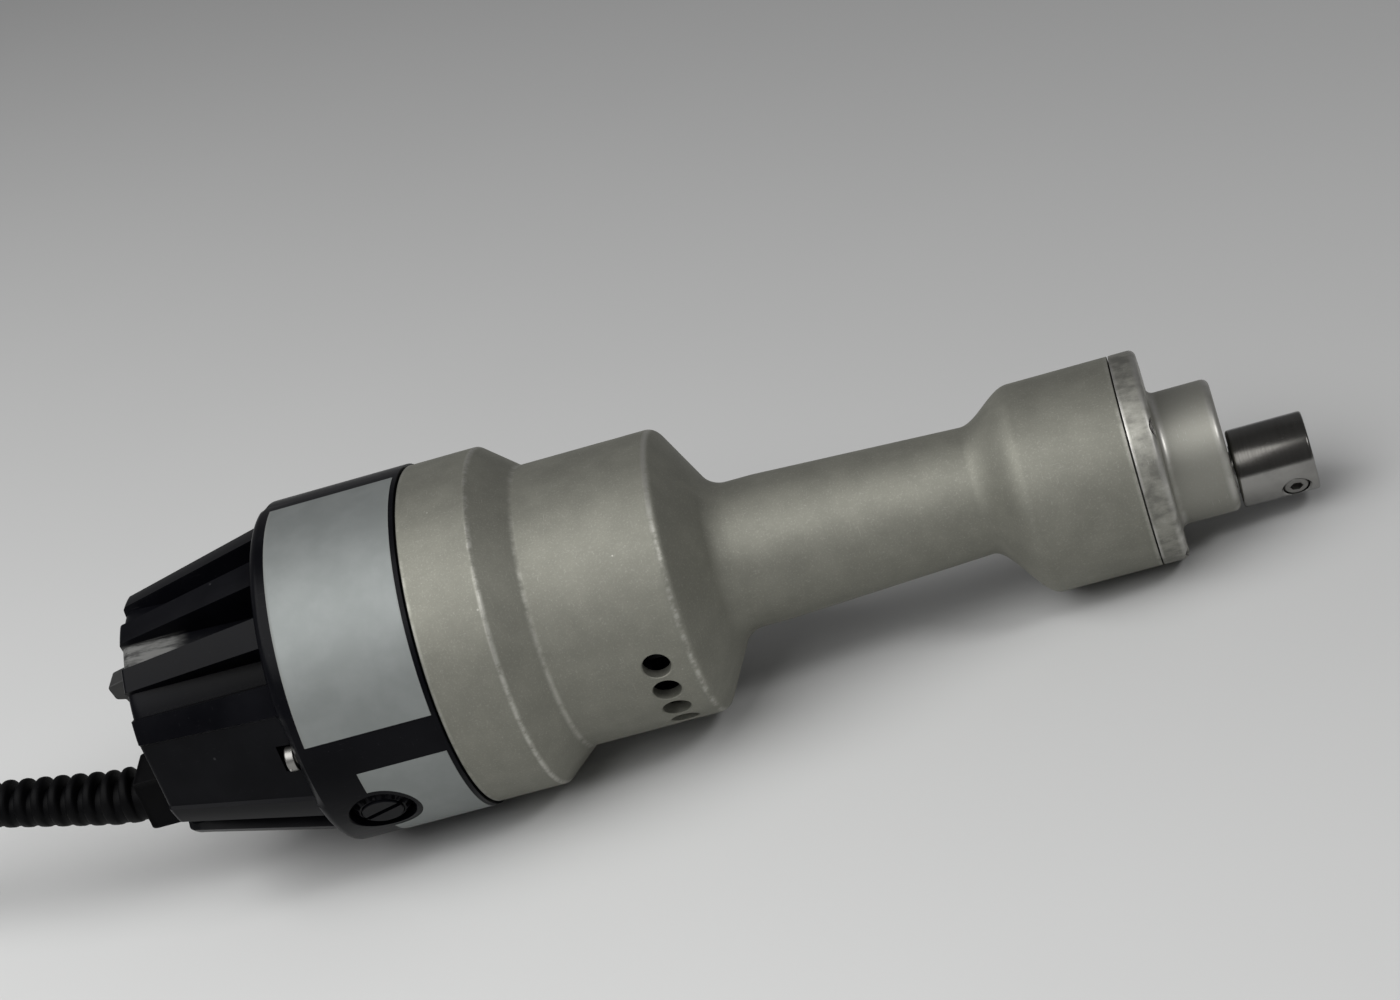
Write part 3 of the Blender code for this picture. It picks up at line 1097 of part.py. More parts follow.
def strain_relief(saw, cap):
    """Rubber boot: inner flange, neck through the plate, square collar and a ribbed tail."""
    hole = rod_bm((X_PLATE_INNER + MM, 0, -RELIEF_NECK_DROP), (-1, 0, 0), RELIEF_NECK_RADIUS + SEAT_GAP,
                  CAP_WALL + 2 * MM, SMALL_SIDES)
    cut(cap, add_object("relief_hole_cutter", hole, None, saw))

    flange = X_PLATE_INNER + SEAT_GAP - X_CAP_REAR
    level = Vector((0, 0, 0))
    lifted = Vector((0, 0, RELIEF_DROP - RELIEF_NECK_DROP))
    spine = outward(RELIEF_SPINE_ANGLE) * RELIEF_SPINE_SHIFT
    stations = [(-flange - RELIEF_FLANGE_LENGTH, RELIEF_FLANGE_RADIUS, ROUND_POWER, lifted),
                (-flange, RELIEF_FLANGE_RADIUS, ROUND_POWER, lifted),
                (-flange, RELIEF_NECK_RADIUS, ROUND_POWER, lifted),
                (SEAT_GAP, RELIEF_NECK_RADIUS, ROUND_POWER, lifted),
                (SEAT_GAP, COLLAR_HALF_WIDTH, SQUARE_POWER, level),
                (COLLAR_LENGTH - COLLAR_EDGE, COLLAR_HALF_WIDTH, SQUARE_POWER, level),
                (COLLAR_LENGTH, COLLAR_HALF_WIDTH - COLLAR_EDGE, ROUNDED_SQUARE_POWER, level)]
    groove = RELIEF_RIB_PITCH - RELIEF_RIB_WIDTH
    ribs = int((RELIEF_LENGTH - COLLAR_LENGTH) / RELIEF_RIB_PITCH)
    for k in range(ribs):
        start = COLLAR_LENGTH + k * RELIEF_RIB_PITCH
        radius = mix(RELIEF_FRONT_RADIUS, RELIEF_REAR_RADIUS, k / ribs)
        floor = radius - RELIEF_GROOVE_DEPTH
        stations += [(start + RELIEF_RIB_SLOPE, floor, ROUND_POWER, spine),
                     (start + groove, floor, ROUND_POWER, spine),
                     (start + groove + RELIEF_RIB_SLOPE, radius, ROUND_POWER, level),
                     (start + RELIEF_RIB_PITCH, radius, ROUND_POWER, level)]
    stations[-1] = (RELIEF_LENGTH, RELIEF_REAR_RADIUS, ROUND_POWER, level)

    bm = bmesh.new()
    loops = []
    for distance, radius, power, shift in stations:
        centre, direction = relief_centre(distance)
        turn = (-direction).to_track_quat("X", "Z")
        loop = []
        for i in range(SMALL_SIDES):
            angle = 2 * math.pi * i / SMALL_SIDES
            reach = radius / (abs(math.cos(angle)) ** power + abs(math.sin(angle)) ** power) ** (1 / power)
            loop.append(bm.verts.new(centre + shift + turn @ Vector((0, *around(reach, angle)))))
        loops.append(loop)
    skin_rings(bm, loops, through=False)
    return add_object("strain_relief", bm, black_rubber(), saw, smooth_angle=30)


def tube(name, points, radius, finish):
    """A bevelled curve along points, with filled caps."""
    curve = bpy.data.curves.new(name, "CURVE")
    curve.dimensions = "3D"
    curve.bevel_depth = radius
    curve.bevel_resolution = 2
    curve.use_fill_caps = True
    spline = curve.splines.new("POLY")
    spline.points.add(len(points) - 1)
    for target, point in zip(spline.points, points):
        target.co = (*point, 1.0)
    made = bpy.data.objects.new(name, curve)
    bpy.context.collection.objects.link(made)
    curve.materials.append(finish)
    return made


def coil_height():
    return (COIL_LAYERS - 1) * CORD_PITCH + 2 * CORD_RADIUS


def plan_direction(exit_direction):
    """The exit's direction seen from above, and the direction to its left."""
    ahead = Vector((exit_direction.x, exit_direction.y, 0)).normalized()
    return ahead, Vector((-ahead.y, ahead.x, 0))


def coil_centre(exit_place, exit_direction):
    """Centre of the coil on the surface, so that the cord runs straight into its outer turn."""
    ahead, left = plan_direction(exit_direction)
    turn_radius = COIL_MIDDLE_RADIUS + CORD_PITCH
    flat = Vector((exit_place.x, exit_place.y, 0))
    return flat + ahead * CORD_RUN + left * turn_radius


def free_run(exit_place, exit_direction):
    """Points of the cord from the boot, over a hump and down to the coil's side."""
    ahead, _ = plan_direction(exit_direction)
    climb = math.asin(exit_direction.normalized().z)
    first = exit_place + exit_direction * CORD_RADIUS
    crest = first.z + CORD_BEND_RADIUS * (1 - math.cos(climb))
    descent = math.acos(1 - (crest - CORD_RADIUS) / (2 * CORD_BEND_RADIUS))
    reach, height = (first - exit_place).dot(ahead), first.z
    points = [exit_place, first]
    turns = [mix(climb, -descent, k / 4) for k in range(5)] + [mix(-descent, 0, k / 4) for k in range(1, 5)]
    for before, after in zip(turns, turns[1:]):
        chord = 2 * CORD_BEND_RADIUS * math.sin(abs(after - before) / 2)
        slope = (before + after) / 2
        reach += chord * math.cos(slope)
        height += chord * math.sin(slope)
        points.append(exit_place + ahead * reach + Vector((0, 0, height - exit_place.z)))
    turn_radius = COIL_MIDDLE_RADIUS + CORD_PITCH
    clear = COIL_MIDDLE_RADIUS + coil_height() / 2 + CORD_RADIUS + SEAT_GAP
    last = CORD_RUN - math.sqrt(clear * clear - turn_radius * turn_radius)
    while (points[-1] - exit_place).dot(ahead) > last:
        points.pop()
    rest = last - (points[-1] - exit_place).dot(ahead)
    sink = (points[-1].z - CORD_RADIUS) / 2
    points.append(points[-1] + ahead * rest - Vector((0, 0, sink)))
    return points


def cord_and_plug(saw):
    """Mains cord from the strain relief: a free run, the coil, the tail and the plug on the coil."""
    bpy.context.view_layer.update()
    end, direction = relief_centre(RELIEF_LENGTH)
    turn = saw.matrix_world.to_3x3()
    direction = turn @ direction
    start = saw.matrix_world @ end + direction * SEAT_GAP
    tube("cord_tube", free_run(start, direction), CORD_RADIUS, black_rubber())

    half = coil_height() / 2
    inner, outer = COIL_MIDDLE_RADIUS - half, COIL_MIDDLE_RADIUS + half
    corner = CORD_RADIUS
    bm = ring_bm([(corner, inner, 0), (0, inner + corner, 0), (0, outer - corner, 0), (corner, outer, 0),
                  (2 * half - corner, outer, 0), (2 * half, outer - corner, 0),
                  (2 * half, inner + corner, 0), (2 * half - corner, inner, 0)], COIL_SIDES, through=True)
    centre = coil_centre(start, direction)
    coil = add_object("cord_coil", bm, black_rubber(), None, centre)
    aim(coil, (0, 0, 1))

    tail = tail_points(centre)
    tube("cord_tail", tail, CORD_RADIUS, black_rubber())
    mains_plug(tail[-1] + Vector((SEAT_GAP, 0, 0)))


def tail_points(centre):
    """Points of the cord's end: over the coil's top from its inner turn outwards, then to the plug."""
    top = coil_height() + SEAT_GAP
    low, high = top + CORD_RADIUS, top + PLUG_RADIUS
    inner_turn, outer_turn = COIL_MIDDLE_RADIUS - CORD_PITCH, COIL_MIDDLE_RADIUS + CORD_PITCH
    points = []
    steps = 8
    for k in range(steps):
        angle = mix(math.pi - TAIL_CROSSING_ANGLE, math.pi, k / steps)
        radius = mix(inner_turn, outer_turn, smoothstep(k / steps))
        points.append(centre + Vector((radius * math.cos(angle), radius * math.sin(angle), low)))
    arc_centre = centre - Vector((outer_turn - TAIL_ARC_RADIUS, 0, 0))
    for k in range(steps + 1):
        angle = math.pi + math.pi / 2 * k / steps
        height = mix(low, high, smoothstep(k / steps))
        points.append(arc_centre + Vector((TAIL_ARC_RADIUS * math.cos(angle),
                                           TAIL_ARC_RADIUS * math.sin(angle), height)))
    points.append(points[-1] + Vector((TAIL_STRAIGHT, 0, 0)))
    return points


def mains_plug(place):
    """Moulded plug with two flat blades and a round ground pin, pointing along +X."""
    neck = PLUG_RELIEF_LENGTH
    taper = neck + PLUG_SHOULDER_LENGTH
    body_end = neck + PLUG_LENGTH
    rings = [(0, CORD_RADIUS + PLUG_RELIEF_WALL, 0), (neck, CORD_RADIUS + 3 * PLUG_RELIEF_WALL, 0),
             (taper, PLUG_RADIUS - PLUG_GRIP_DEPTH, 0),
             (taper + PLUG_TAPER_LENGTH, PLUG_RADIUS - PLUG_EDGE, 0),
             (body_end - PLUG_FACE_LENGTH, PLUG_RADIUS, 0), (body_end - PLUG_EDGE, PLUG_RADIUS, 0),
             (body_end, PLUG_RADIUS - PLUG_EDGE, 0)]
    plug = turned("plug_body", rings, black_rubber(), None, INNER_SIDES)
    plug.location = place
    front = body_end + SEAT_GAP
    for name, side in (("plug_blade_1", -1), ("plug_blade_2", 1)):
        centre = side * BLADE_SPACING / 2
        blade = box_bm((front, centre - BLADE_THICKNESS / 2, BLADE_RISE - BLADE_WIDTH / 2),
                       (front + BLADE_LENGTH, centre + BLADE_THICKNESS / 2, BLADE_RISE + BLADE_WIDTH / 2))
        add_object(name, blade, brass(), None, place)
    tip = front + GROUND_PIN_LENGTH
    rings = [(front, GROUND_PIN_RADIUS, GROUND_PIN_OFFSET),
             (tip - EDGE_BREAK, GROUND_PIN_RADIUS, GROUND_PIN_OFFSET),
             (tip, GROUND_PIN_RADIUS / 2, GROUND_PIN_OFFSET)]
    pin = turned("plug_ground_pin", rings, brass(), None, SMALL_SIDES)
    pin.location = place


def lay_down(saw):
    """Tilts the saw until the band's front edge and the flange both touch z = 0, and centres it."""
    arm = FLANGE_LENGTH - FLANGE_ROUND - X_BAND_FRONT
    rise = BAND_RADIUS - (HEAD_RADIUS + HEAD_OFFSET - FLANGE_ROUND)
    tilt = math.atan2(rise, arm) - math.asin(FLANGE_ROUND / math.hypot(arm, rise))
    saw.rotation_euler = (0, tilt, 0)
    bpy.context.view_layer.update()
    depsgraph = bpy.context.evaluated_depsgraph_get()
    corners = []
    for item in bpy.data.objects:
        if item.type == "MESH" and not item.hide_render:
            found = item.evaluated_get(depsgraph)
            corners += [item.matrix_world @ vertex.co for vertex in found.data.vertices]
    low = [min(corner[axis] for corner in corners) for axis in range(3)]
    high = [max(corner[axis] for corner in corners) for axis in range(3)]
    saw.location = (-(low[0] + high[0]) / 2, -(low[1] + high[1]) / 2, -low[2])
    bpy.context.view_layer.update()


def main():
    clear_scene()
    saw = add_empty("saw_axis")
    housing = motor_housing(saw)
    cap_front = nose_cap(saw)
    nose_screws(saw, housing, cap_front)
    spindle_parts(saw)
    armature(saw)
    motor_fixed_parts(saw)
    bracket = end_bracket(saw)
    cap = rear_cap(saw)
    cap_screws(saw, housing, cap)
    brush_gear(saw, cap, bracket)
    rocker_switch(saw, cap)
    strain_relief(saw, cap)
    lay_down(saw)
    cord_and_plug(saw)


main()
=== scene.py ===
"""Looks of the corded autopsy saw: finer turned and moulded pieces, finishes, mains lead and studio."""
from __future__ import annotations

import logging
import math
from dataclasses import dataclass
from enum import Enum
from typing import Callable, Iterable, Sequence

import bmesh
import bpy
from mathutils import Matrix, Vector


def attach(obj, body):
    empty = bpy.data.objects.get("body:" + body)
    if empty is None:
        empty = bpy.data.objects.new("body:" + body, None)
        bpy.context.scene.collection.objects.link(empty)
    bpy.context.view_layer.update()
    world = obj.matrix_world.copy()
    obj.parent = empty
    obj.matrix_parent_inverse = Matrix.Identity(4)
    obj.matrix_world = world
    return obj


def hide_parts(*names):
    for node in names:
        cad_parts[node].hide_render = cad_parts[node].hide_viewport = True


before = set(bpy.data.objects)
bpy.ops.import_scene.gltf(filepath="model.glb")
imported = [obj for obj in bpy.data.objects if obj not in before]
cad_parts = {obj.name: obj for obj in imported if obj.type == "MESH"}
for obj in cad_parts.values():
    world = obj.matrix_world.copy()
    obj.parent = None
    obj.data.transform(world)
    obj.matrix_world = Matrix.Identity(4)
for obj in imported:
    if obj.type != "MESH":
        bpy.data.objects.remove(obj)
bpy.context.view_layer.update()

LOG = logging.getLogger("autopsy_saw")
Triple = tuple[float, float, float]
Pair = tuple[float, float]
Colour = Triple
Ring = Triple
Mesh = bmesh.types.BMesh
Material = bpy.types.Material
Socket = bpy.types.NodeSocket

MM = 0.001
TURN = 2 * math.pi
EVEN = (1.0, 1.0, 1.0)
SAW_DIP = math.radians(4.888262)
SAW_PLACE = Matrix.Translation((123.81537 * MM, 0.0, 26.30431 * MM)) @ Matrix.Rotation(SAW_DIP, 4, "Y")

# Sizes in mm that several pieces share, stations being negative behind the flange
HEAD_RADIUS = 22.96
HEAD_DROP = 3.05
ARBOR_DROP = 11.64
CAP_END = -220.0
BOOT_NECK_DROP = 17.0


class Body(Enum):
    """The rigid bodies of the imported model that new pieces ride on."""

    SAW = "saw"
    SPINDLE = "spindle"
    ROCKER = "rocker"


def around(radius: float, angle: float) -> Pair:
    """The (y, z) point at an angle about the main axis, counted from straight up towards -Y."""
    return -radius * math.sin(angle), radius * math.cos(angle)


def outward(angle: float) -> Vector:
    """The direction away from the main axis at an angle."""
    return Vector((0.0, *around(1.0, angle)))


def mix(first: float, second: float, share: float) -> float:
    """The value at a share of the way from the first to the second."""
    return first + (second - first) * share


def smoothstep(share: float) -> float:
    """A share that starts and ends gently."""
    return share * share * (3 - 2 * share)


def operator(operation: str, swapped: bool = False) -> Callable[[Value, object], Value]:
    """A method that joins a Value and another value with one Math node.

    Args:
        operation: what the node does.
        swapped: whether the other value comes first.

    Returns:
        The method.
    """

    def join(self: Value, other: object) -> Value:
        """The result of the operation."""
        return self.math(operation, *((other, self) if swapped else (self, other)))

    return join


class Value:
    """A number socket that takes part in Python expressions by adding Math nodes."""

    def __init__(self, graph: Graph, socket: Socket) -> None:
        """Wraps an output socket of a graph."""
        self.graph = graph
        self.socket = socket

    def math(self, operation: str, first: object, second: object = 0.0, clamp: bool = False) -> Value:
        """Adds one Math node.

        Args:
            operation: what it does.
            first: its first input.
            second: its second input.
            clamp: keep the result between 0 and 1.

        Returns:
            The result.
        """
        settings = {"operation": operation, "use_clamp": clamp}
        made = self.graph.node("ShaderNodeMath", settings, {0: first, 1: second})
        return Value(self.graph, made.outputs[0])

    __add__ = __radd__ = operator("ADD")
    __sub__ = operator("SUBTRACT")
    __rsub__ = operator("SUBTRACT", swapped=True)
    __mul__ = __rmul__ = operator("MULTIPLY")
    __truediv__ = operator("DIVIDE")
    __pow__ = operator("POWER")
    most = operator("MAXIMUM")

    def __abs__(self) -> Value:
        """The size of self without its sign."""
        return self.math("ABSOLUTE", self)

    def clamp(self) -> Value:
        """self kept between 0 and 1."""
        return self.math("ADD", self, 0.0, clamp=True)

    def rise(self, low: float, high: float) -> Value:
        """A soft mask that goes from 0 at low to 1 at high.

        Args:
            low: the value where the mask is 0; it may be above high for a falling mask.
            high: the value where the mask is 1.

        Returns:
            The mask, clamped.
        """
        if low > high:
            return 1 - self.rise(high, low)
        made = self.graph.node("ShaderNodeMapRange", {"interpolation_type": "SMOOTHSTEP", "clamp": True},
                               {"Value": self, "From Min": low, "From Max": high})
        return Value(self.graph, made.outputs[0])

    def near(self, centre: float, reach: float) -> Value:
        """A mask that is 1 at centre and 0 beyond reach."""
        return abs(self - centre).rise(reach, 0.0)


class Graph:
    """One procedural material and the helpers that fill it."""

    def __init__(self, name: str) -> None:
        """Makes the material with its Principled shader."""
        self.material = bpy.data.materials.new(name)
        self.material.use_nodes = True
        self.tree = self.material.node_tree
        self.shader = self.tree.nodes["Principled BSDF"]

    def node(self, kind: str, settings: dict | None = None, inputs: dict | None = None) -> bpy.types.Node:
        """Adds a node, applies its settings, then fills or links its sockets.

        Args:
            kind: the node's type name.
            settings: its properties.
            inputs: socket name or index to a number, colour, vector, Value or output socket.

        Returns:
            The node.
        """
        made = self.tree.nodes.new(kind)
        for key, setting in (settings or {}).items():
            setattr(made, key, setting)
        for key, given in (inputs or {}).items():
            self.feed(made.inputs[key], given)
        return made

    def feed(self, socket: Socket, given: object) -> None:
        """Links a socket to a Value or an output, or sets its own value.

        Args:
            socket: the input socket.
            given: what it gets.
        """
        if isinstance(given, Value):
            self.tree.links.new(given.socket, socket)
        elif isinstance(given, bpy.types.NodeSocket):
            self.tree.links.new(given, socket)
        elif isinstance(given, tuple) and socket.type == "RGBA":
            socket.default_value = (*given, 1.0)
        else:
            socket.default_value = given

    def place(self, stretch: Triple = EVEN) -> Socket:
        """The point on the piece in its own metres.

        Args:
            stretch: factors along the three axes.

        Returns:
            The vector.
        """
        coords = self.node("ShaderNodeTexCoord").outputs["Object"]
        if stretch == EVEN:
            return coords
        made = self.node("ShaderNodeVectorMath", {"operation": "MULTIPLY"}, {0: coords, 1: stretch})
        return made.outputs[0]

    def axes(self) -> list[Value]:
        """The three coordinates of the point on the piece."""
        parts = self.node("ShaderNodeSeparateXYZ", {}, {0: self.place()})
        return [Value(self, parts.outputs[k]) for k in range(3)]

    def noise(self, size: float, detail: float = 3.0, roughness: float = 0.55,
              stretch: Triple = EVEN) -> Value:
        """Soft noise centred on 0.5.

        Args:
            size: about the size of its features, in metres.
            detail: how many finer layers it has.
            roughness: how strong they are.
            stretch: factors along the three axes.

        Returns:
            The noise.
        """
        made = self.node("ShaderNodeTexNoise", {}, {
            "Vector": self.place(stretch), "Scale": 1 / size, "Detail": detail, "Roughness": roughness})
        return Value(self, made.outputs["Fac"])

    def spots(self, size: float, radius: float, share: float = 0.5, stretch: Triple = EVEN) -> Value:
        """Scattered spots.

        Args:
            size: size of the cells that hold one spot each, in metres.
            radius: radius of a spot, in metres.
            share: share of the spots that are kept.
            stretch: factors along the three axes.

        Returns:
            The mask of the spots.
        """
        made = self.node("ShaderNodeTexVoronoi", {}, {"Vector": self.place(stretch), "Scale": 1 / size})
        chosen = Value(self, self.node("ShaderNodeSeparateColor", {}, {0: made.outputs["Color"]}).outputs[0])
        spot = Value(self, made.outputs["Distance"]).rise(radius / size, 0.4 * radius / size)
        return spot * chosen.rise(1 - share, 1 - share + 0.02)

    def streaks(self, size: float, stretch: Triple, keep: float) -> Value:
        """Fine scratches: noise drawn out along one axis and cut off above a level.

        Args:
            size: width of the scratches before the stretch, in metres.
            stretch: factors along the three axes.
            keep: the level.

        Returns:
            The mask of the scratches.
        """
        line = self.noise(size, detail=2.0, stretch=stretch)
        patch = self.noise(size * 9, detail=1.0)
        return line.rise(keep, keep + 0.05) * patch.rise(0.5, 0.62)

    def worn(self, rings: Sequence[Ring]) -> Value:
        """The sum of masks round the main axis, from (station, reach, strength) with lengths in mm."""
        x = self.axes()[0]
        return sum(x.near(station * MM, reach * MM) * strength for station, reach, strength in rings)

    def blend(self, share: object, first: object, second: object) -> Socket:
        """A colour between two, or the second over the first by a mask."""
        made = self.node("ShaderNodeMix", {"data_type": "RGBA"}, {0: share, 6: first, 7: second})
        return made.outputs[2]

    def bump(self, height: Value, depth: float, over: Socket | None = None) -> Socket:
        """A surface normal from a relief.

        Args:
            height: the relief, 0 to 1.
            depth: its depth in metres.
            over: a normal that it lies on.

        Returns:
            The normal.
        """
        inputs: dict = {"Strength": 1.0, "Distance": depth, "Height": height}
        if over is not None:
            inputs["Normal"] = over
        return self.node("ShaderNodeBump", {}, inputs).outputs[0]

    def dress(self, **sockets: object) -> Material:
        """Fills the Principled shader's sockets.

        Args:
            sockets: values or links by socket name, with underscores for spaces.

        Returns:
            The finished material.
        """
        for key, given in sockets.items():
            self.feed(self.shader.inputs[key.replace("_", " ")], given)
        return self.material


@dataclass(frozen=True)
class Finish:
    """A finish: a name and the way its material is made."""

    name: str = "finish"

    def paint(self, graph: Graph) -> Material:
        """Fills the graph of this finish."""
        raise NotImplementedError

    def material(self) -> Material:
        """This finish's material, made once."""
        return bpy.data.materials.get(self.name) or self.paint(Graph(self.name))


@dataclass(frozen=True)
class BlastedAluminium(Finish):
    """Bead-blasted warm grey aluminium that is worn bright along its turned edges."""

    name: str = "blasted_aluminium"
    colour: Colour = (0.257, 0.256, 0.220)
    dull: Colour = (0.222, 0.221, 0.190)
    bright: Colour = (0.66, 0.65, 0.60)
    worn_rings: tuple[Ring, ...] = (
        (-0.3, 0.8, 0.4), (-98.9, 0.9, 0.85), (-128.8, 0.9, 0.45), (-136.7, 0.8, 0.9), (-151.9, 0.7, 0.4))

    def paint(self, graph: Graph) -> Material:
        """Grain, mottling, worn rings, nicks and handling scratches.

        Args:
            graph: the material's graph.

        Returns:
            The material.
        """
        grain = graph.noise(0.42 * MM, detail=4.0, roughness=0.7)
        mottle = graph.noise(7 * MM, detail=4.0, roughness=0.6)
        cloud = graph.noise(38 * MM, detail=2.0)
        patchy = graph.noise(2.4 * MM, detail=4.0, roughness=0.65, stretch=(0.5, 1.0, 1.0))
        wear = (graph.worn(self.worn_rings) * (patchy + cloud).rise(0.8, 1.15)).clamp()
        lines = graph.streaks(1.3 * MM, (6.0, 0.35, 0.35), 0.68)
        lines += graph.streaks(1.0 * MM, (0.3, 5.0, 5.0), 0.70)
        nicks = graph.spots(9 * MM, 0.32 * MM, 0.3)
        tone = graph.blend(mottle.rise(0.3, 0.75), self.dull, self.colour)
        tone = graph.blend((grain.rise(0.5, 0.8) * 0.22).clamp(), tone, self.bright)
        tone = graph.blend((wear * 0.6 + lines * 0.16 + nicks * 0.6).clamp(), tone, self.bright)
        rough = 0.66 + mottle * 0.04 - grain * 0.06 - cloud * 0.02 - wear * 0.25 - lines * 0.05
        pitted = graph.bump(grain, 0.022 * MM)
        cut = graph.bump(1 - (lines * 0.5 + nicks).clamp(), 0.03 * MM, pitted)
        return graph.dress(Base_Color=tone, Metallic=0.9, Roughness=rough, Normal=cut)


@dataclass(frozen=True)
class TurnedAluminium(Finish):
    """Smoother turned aluminium of the nose cap, scratched and rubbed at its rims."""

    name: str = "turned_aluminium"
    colour: Colour = (0.325, 0.322, 0.288)
    dull: Colour = (0.20, 0.198, 0.178)
    bright: Colour = (0.60, 0.59, 0.56)
    worn_rings: tuple[Ring, ...] = ((0.4, 0.7, 1.0), (5.4, 1.2, 1.0), (6.9, 1.2, 1.0), (18.4, 1.4, 1.0))
    rim_end: Pair = (6.2, 5.6)

    def paint(self, graph: Graph) -> Material:
        """Fine rings from the lathe, rubbed rims and scratches.

        Args:
            graph: the material's graph.

        Returns:
            The material.
        """
        grain = graph.noise(0.5 * MM, detail=3.0, roughness=0.7)
        cloud = graph.noise(9 * MM, detail=4.0)
        rub = graph.noise(3.2 * MM, detail=4.0, roughness=0.65, stretch=(0.6, 1.0, 1.0))
        rim = graph.axes()[0].rise(self.rim_end[0] * MM, self.rim_end[1] * MM)
        rings = graph.noise(0.5 * MM, detail=2.0, stretch=(6.0, 0.04, 0.04))
        wear = (graph.worn(self.worn_rings) * cloud.rise(0.35, 0.6)).clamp()
        lines = graph.streaks(0.9 * MM, (5.0, 0.3, 0.4), 0.66)
        tone = graph.blend((rim * rub.rise(0.62, 0.35)).clamp(), self.colour, self.dull)
        marks = wear * 0.6 + lines * 0.4 + rim * rub.rise(0.58, 0.75) * 0.3 + grain.rise(0.5, 0.9) * 0.2
        tone = graph.blend(marks.clamp(), tone, self.bright)
        rough = 0.5 + cloud * 0.08 - wear * 0.16 + rings * 0.06
        cut = graph.bump(rings * 0.35 + grain * 0.65, 0.012 * MM)
        return graph.dress(Base_Color=tone, Metallic=1.0, Roughness=rough, Normal=cut)


@dataclass(frozen=True)
class PolishedSteel(Finish):
    """Hardened and polished steel with faint lathe rings, rub marks and a painted dark reflection band."""

    name: str = "polished_steel_arbor"
    colour: Colour = (0.34, 0.335, 0.32)
    roughness: float = 0.13
    painted_reflection_dark: Colour = (0.055, 0.053, 0.048)
    smeared: Colour = (0.25, 0.245, 0.235)
    painted_reflection_band: Pair = (-9.2, -3.5)

    def paint(self, graph: Graph) -> Material:
        """Lathe rings, smears, light scratches and a painted dark reflection: a band between two heights.

        Args:
            graph: the material's graph.

        Returns:
            The material.
        """
        z = graph.axes()[2]
        low, high = (edge * MM for edge in self.painted_reflection_band)
        rings = graph.noise(0.35 * MM, detail=3.0, stretch=(5.0, 0.03, 0.03))
        smear = graph.noise(5 * MM, detail=4.0)
        lines = graph.streaks(0.7 * MM, (0.5, 4.0, 4.0), 0.68)
        tone = graph.blend(smear.rise(0.35, 0.8), self.colour, self.smeared)
        # Painted reflection: the steel is darkened in a band between two heights, as if it mirrored a dark
        # room there.
        painted_reflection = z.rise(low - 0.5 * MM, low + 0.5 * MM) * z.rise(high + 1.5 * MM, high)
        tone = graph.blend((painted_reflection * (rings * 0.5 + 0.6)).clamp(), tone, self.painted_reflection_dark)
        rough = self.roughness + rings * 0.1 + smear * 0.08 + lines * 0.1
        return graph.dress(Base_Color=tone, Metallic=1.0, Roughness=rough,
                           Normal=graph.bump(rings, 0.004 * MM))


@dataclass(frozen=True)
class DarkSteel(Finish):
    """Blackened screw steel, rubbed to bright metal in places."""

    name: str = "dark_screw_steel"
    colour: Colour = (0.12, 0.115, 0.11)
    rubbed_and_sheen: Colour = (0.45, 0.44, 0.42)

    def paint(self, graph: Graph) -> Material:
        """Oxide with rubbed patches.

        Args:
            graph: the material's graph.

        Returns:
            The material.
        """
        patch = graph.noise(1.4 * MM, detail=4.0, roughness=0.65)
        grain = graph.noise(0.2 * MM, detail=2.0)
        tone = graph.blend(patch.rise(0.5, 0.7), self.colour, self.rubbed_and_sheen)
        return graph.dress(Base_Color=tone, Metallic=1.0, Roughness=0.32 + grain * 0.2,
                           Normal=graph.bump(grain, 0.006 * MM))


@dataclass(frozen=True)
class BlackPlastic(Finish):
    """Glossy black moulded plastic, scuffed, nicked and a little dusty."""

    name: str = "black_moulded_plastic"
    colour: Colour = (0.0014, 0.0015, 0.0024)
    scuffed: Colour = (0.03, 0.03, 0.032)
    roughness: float = 0.22
    gloss: float = 0.06
    hazy: Colour = (0.0036, 0.0037, 0.005)
    rubbed_and_sheen: Colour = (0.15, 0.15, 0.145)

    def paint(self, graph: Graph) -> Material:
        """Mould texture, scuffs, nicks and dust.

        Args:
            graph: the material's graph.

        Returns:
            The material.
        """
        texture = graph.noise(0.8 * MM, detail=3.0)
        cloud = graph.noise(14 * MM, detail=3.0)
        lines = graph.streaks(1.1 * MM, (0.35, 4.0, 4.0), 0.67)
        lines += graph.streaks(0.9 * MM, (4.0, 0.4, 0.4), 0.69)
        nicks = graph.spots(7 * MM, 0.4 * MM, 0.3, (1.0, 1.3, 0.8))
        dust = graph.spots(1.7 * MM, 0.13 * MM, 0.35)
        marks = (lines * 0.35 + nicks * 0.8 + dust * 0.5).clamp()
        tone = graph.blend(cloud.rise(0.3, 0.8), self.colour, self.hazy)
        tone = graph.blend(marks, tone, self.scuffed)
        # Painted sheen: a lighter grey where one channel's floor would mirror the light.
        tone = graph.blend(self.painted_floor_sheen(graph), tone, self.rubbed_and_sheen)
        rough = self.roughness + cloud * 0.12 + texture * 0.05 + marks * 0.3
        ripple = graph.bump(texture, 0.005 * MM)
        return graph.dress(Base_Color=tone, Roughness=rough, Specular_IOR_Level=self.gloss,
                           Normal=graph.bump(1 - nicks, 0.04 * MM, ripple))

    def painted_floor_sheen(self, graph: Graph) -> Value | float:
        """The share of painted sheen grey; none on plain plastic."""
        return 0.0


